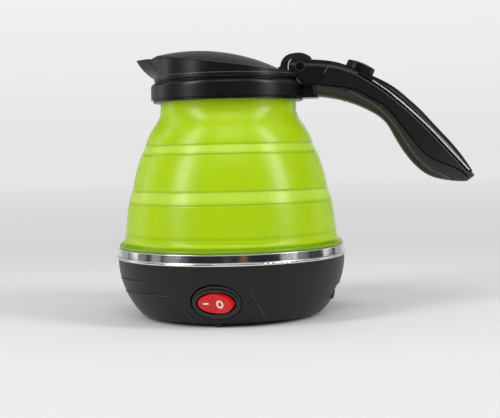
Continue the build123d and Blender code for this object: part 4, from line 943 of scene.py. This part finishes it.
# %% Coil of wire
steps_per_turn = 24


def coil(name, centre, axis, coil_r, wire_r, length, turns, replaced, body=None):
    """A helix of round wire, centred on a point and an axis, in millimetres."""
    lean = Vector((0, 0, 1)).rotation_difference(Vector(axis)).to_matrix()
    steps = turns * steps_per_turn
    path = []
    for index in range(steps + 1):
        angle = 2 * pi * index / steps_per_turn
        rise = (index / steps - 0.5) * (length - 2 * wire_r)
        spot = Vector(centre) + lean @ Vector((coil_r * cos(angle), coil_r * sin(angle), rise))
        path.append(spot * MM)
    piece = dress(wire(name, [path], wire_r), plain_steel, body)
    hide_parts(replaced)
    return piece


# %% The lid's spring and the button's spring
spring_middle, spring_size = middle_and_size("lid_spring")
print("lid spring", spring_middle, spring_size)
coil("lid_coil", spring_middle, (0, 1, 0), 2.45, 0.27, spring_size.y, 4, "lid_spring", "collar")
button_middle, button_size = middle_and_size("button_spring")
print("button spring", button_middle, button_size)
button_lean, button_length = radians(23.4), 7.0
button_axis = Vector((sin(button_lean), 0, cos(button_lean)))
button_coil = coil(
    "button_coil", button_middle, button_axis, 3.2, 0.34, button_length, 5, "button_spring"
)
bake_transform(button_coil)

# %% [markdown]
# ## Floor and backdrop
# The kettle stands on a plain pale floor that fades into a backdrop of nearly the same
# tone, so that no horizon shows. A curved sheet could join the two, as in a studio, but
# other views would look past its edge. So the floor is flat and wide, and away from the
# kettle it turns into an even haze. Haze and backdrop are there for the camera and for
# reflections only, so they add no light of their own. The backdrop is a little paler
# above the horizon and dark overhead, which is what the tops of the black parts mirror.

# %% Tones of the set
backdrop_tone = (0.78, 0.78, 0.785)
upper_tone = (0.88, 0.88, 0.885)
behind_tone = grey(0.67)
ceiling_tone = (0.10, 0.10, 0.105)
fade_start, fade_end = 0.20, 0.55
far_start, far_end = 0.5, 2.6
wall_top, ceiling_start, ceiling_end = 0.15, 0.28, 0.75
fill_strength = 0.42
floor_half = 6.0
print("floor fades out from", fade_start, "to", fade_end, "metres from the kettle's axis")


def seen_rays(tree):
    """A mask that is 1 for camera, glossy and transmission rays."""
    path = node(tree, "ShaderNodeLightPath").outputs
    reflected = calc(tree, "MAXIMUM", path["Is Camera Ray"], path["Is Glossy Ray"])
    return calc(tree, "MAXIMUM", reflected, path["Is Transmission Ray"])


# %% Floor
floor_mesh = bmesh.new()
bmesh.ops.create_grid(floor_mesh, x_segments=1, y_segments=1, size=floor_half)
floor = placed("floor", floor_mesh, smooth=False)
floor_material = moulding(
    "pale_floor", grey(0.75), grey(0.77), roughness=0.8, grain_mm=2.0, depth_mm=0.002, patch_mm=300
)
tree = floor_material.node_tree
where = node(tree, "ShaderNodeTexCoord").outputs["Object"]
length = node(tree, "ShaderNodeVectorMath", operation="LENGTH", inputs={0: where})
far = length.outputs["Value"]
fade = ramp(tree, far, fade_start, fade_end, "SMOOTHSTEP")
amount = calc(tree, "MULTIPLY", fade, seen_rays(tree))
distant = mixed(tree, ramp(tree, far, far_start, far_end), behind_tone, backdrop_tone)
haze = node(tree, "ShaderNodeEmission", inputs={"Color": distant, "Strength": 1.0})
near = tree.nodes["Principled BSDF"].outputs[0]
blended = node(tree, "ShaderNodeMixShader", inputs={0: amount, 1: near, 2: haze.outputs[0]})
tree.links.new(blended.outputs[0], tree.nodes["Material Output"].inputs["Surface"])
floor.data.materials.append(floor_material)

# %% World
world = bpy.data.worlds.new("studio")
bpy.context.scene.world = world
world.use_nodes = True
tree = world.node_tree
tree.nodes.clear()
toward = node(tree, "ShaderNodeTexCoord").outputs["Generated"]
up = node(tree, "ShaderNodeSeparateXYZ", inputs={0: toward}).outputs["Z"]
backdrop = mixed(tree, ramp(tree, up, 0.0, wall_top), backdrop_tone, upper_tone)
overhead = ramp(tree, up, ceiling_start, ceiling_end, "SMOOTHSTEP")
room = mixed(tree, overhead, backdrop, ceiling_tone)
shown = node(tree, "ShaderNodeBackground", inputs={"Color": room, "Strength": 1.0}).outputs[0]
white = {"Color": (1, 1, 1, 1), "Strength": fill_strength}
fill = node(tree, "ShaderNodeBackground", inputs=white).outputs[0]
mix = node(tree, "ShaderNodeMixShader", inputs={0: seen_rays(tree), 1: fill, 2: shown})
node(tree, "ShaderNodeOutputWorld", inputs={0: mix.outputs[0]})
print("world lights with", fill_strength, "and shows", backdrop_tone, "to", upper_tone)

# %% [markdown]
# ### The dark side of the room
# Black plastic and polished steel look dark only where something dark is there for them
# to mirror. In a studio that is the unlit room behind the camera. A picture of a room
# could stand in for it, but this script draws all it needs, so it is a dark screen that
# only reflections see, and it takes no light from the kettle. A few narrow screens in
# front of it, like a door and a window, put upright streaks into the steel.

# %% Screens that only reflections see
screen_low, room_high, streak_high = -0.2, 1.5, 0.5
room_r, streak_r = 1.5, 1.4
screen_step = 5


def plain_glow(name, colour):
    """An even tone for a screen: it shows in reflections and lights nothing."""
    material = bpy.data.materials.new(name)
    material.use_nodes = True
    tree = material.node_tree
    tree.nodes.clear()
    glow = node(tree, "ShaderNodeEmission", inputs={"Color": (*colour, 1), "Strength": 1.0})
    node(tree, "ShaderNodeOutputMaterial", inputs={"Surface": glow.outputs[0]})
    return material


def screen(name, radius, high, start, end, material):
    """An upright curved screen between two angles from the front, in degrees."""
    shell = bmesh.new()
    x, y = radius * sin(radians(start)), -radius * cos(radians(start))
    ends = [shell.verts.new((x, y, z)) for z in (screen_low, high)]
    bmesh.ops.spin(
        shell,
        geom=ends + [shell.edges.new(ends)],
        cent=(0, 0, 0),
        axis=(0, 0, 1),
        angle=radians(end - start),
        steps=max(2, round((end - start) / screen_step)),
    )
    made = placed(name, shell, smooth=False)
    made.data.materials.append(material)
    made.visible_camera = made.visible_diffuse = made.visible_shadow = False


# %% The room and its streaks
room_dark = plain_glow("screen_dark", (0.018, 0.022, 0.028))
screen("dark_room", room_r, room_high, -150, 160, room_dark)
for name, start, end, colour in (
    ("left_window", -156, -116, grey(0.42)),
    ("left_wall", -113, -84, (0.22, 0.225, 0.22)),
    ("left_post", -77, -65, grey(0.33)),
    ("blue_wall", -61, -44, (0.17, 0.18, 0.20)),
    ("dim_wall", -44, -34, (0.07, 0.075, 0.085)),
    ("dim_door", 0, 7, (0.07, 0.06, 0.05)),
    ("brown_door", 16, 23, (0.19, 0.12, 0.08)),
    ("pale_curtain", 57, 71, (0.36, 0.38, 0.40)),
    ("bright_gap", 71, 75, (0.68, 0.70, 0.70)),
    ("grey_wall", 77, 89, (0.16, 0.17, 0.18)),
    ("far_wall", 93, 112, (0.05, 0.053, 0.06)),
    ("right_post", 124, 130, grey(0.18)),
    ("right_window", 134, 156, grey(0.45)),
):
    screen(name, streak_r, streak_high, start, end, plain_glow("glow_" + name, colour))

# %% [markdown]
# ### Lamps
# Two tall soft boxes, one at each side in front, give the silicone its two broad upright
# highlights. They stand upright and start well above the kettle, because the leaning steel
# band would mirror a lower lamp as a white blot. A large soft light above fills the top
# surfaces, and two weak ones at the sides behind lift the edges off the backdrop. A sun
# lamp would be simpler, but its small hard highlight shows no width in the gloss.

# %% Lamps
lamp_distance = 0.9
box_height, rim_height, low_aim = 0.84, 0.5, 0.07


def soft_box(name, azimuth, height, aim_height, width, tall, watts):
    """An area lamp at an angle from the front, in degrees, aimed at a height on the axis."""
    lamp = bpy.data.lights.new(name, "AREA")
    lamp.shape = "RECTANGLE"
    lamp.size = width
    lamp.size_y = tall
    lamp.energy = watts
    box = bpy.data.objects.new(name, lamp)
    bpy.context.scene.collection.objects.link(box)
    turn = radians(azimuth)
    spot = Vector((lamp_distance * sin(turn), -lamp_distance * cos(turn), height))
    box.location = spot
    aim = Vector((0, 0, aim_height)) - spot
    box.rotation_euler = aim.to_track_quat("-Z", "Y").to_euler()
    print(name, "shines from", [round(value, 3) for value in spot])


soft_box("left_box", -50, box_height, box_height, 0.26, 1.2, 8.0)
soft_box("right_box", 70, box_height, box_height, 0.22, 1.2, 7.6)
soft_box("top_box", 10, 1.25, low_aim, 0.9, 0.7, 4.0)
soft_box("left_rim", -105, rim_height, low_aim, 0.3, 0.9, 1.0)
soft_box("right_rim", 118, rim_height, low_aim, 0.3, 0.9, 0.8)
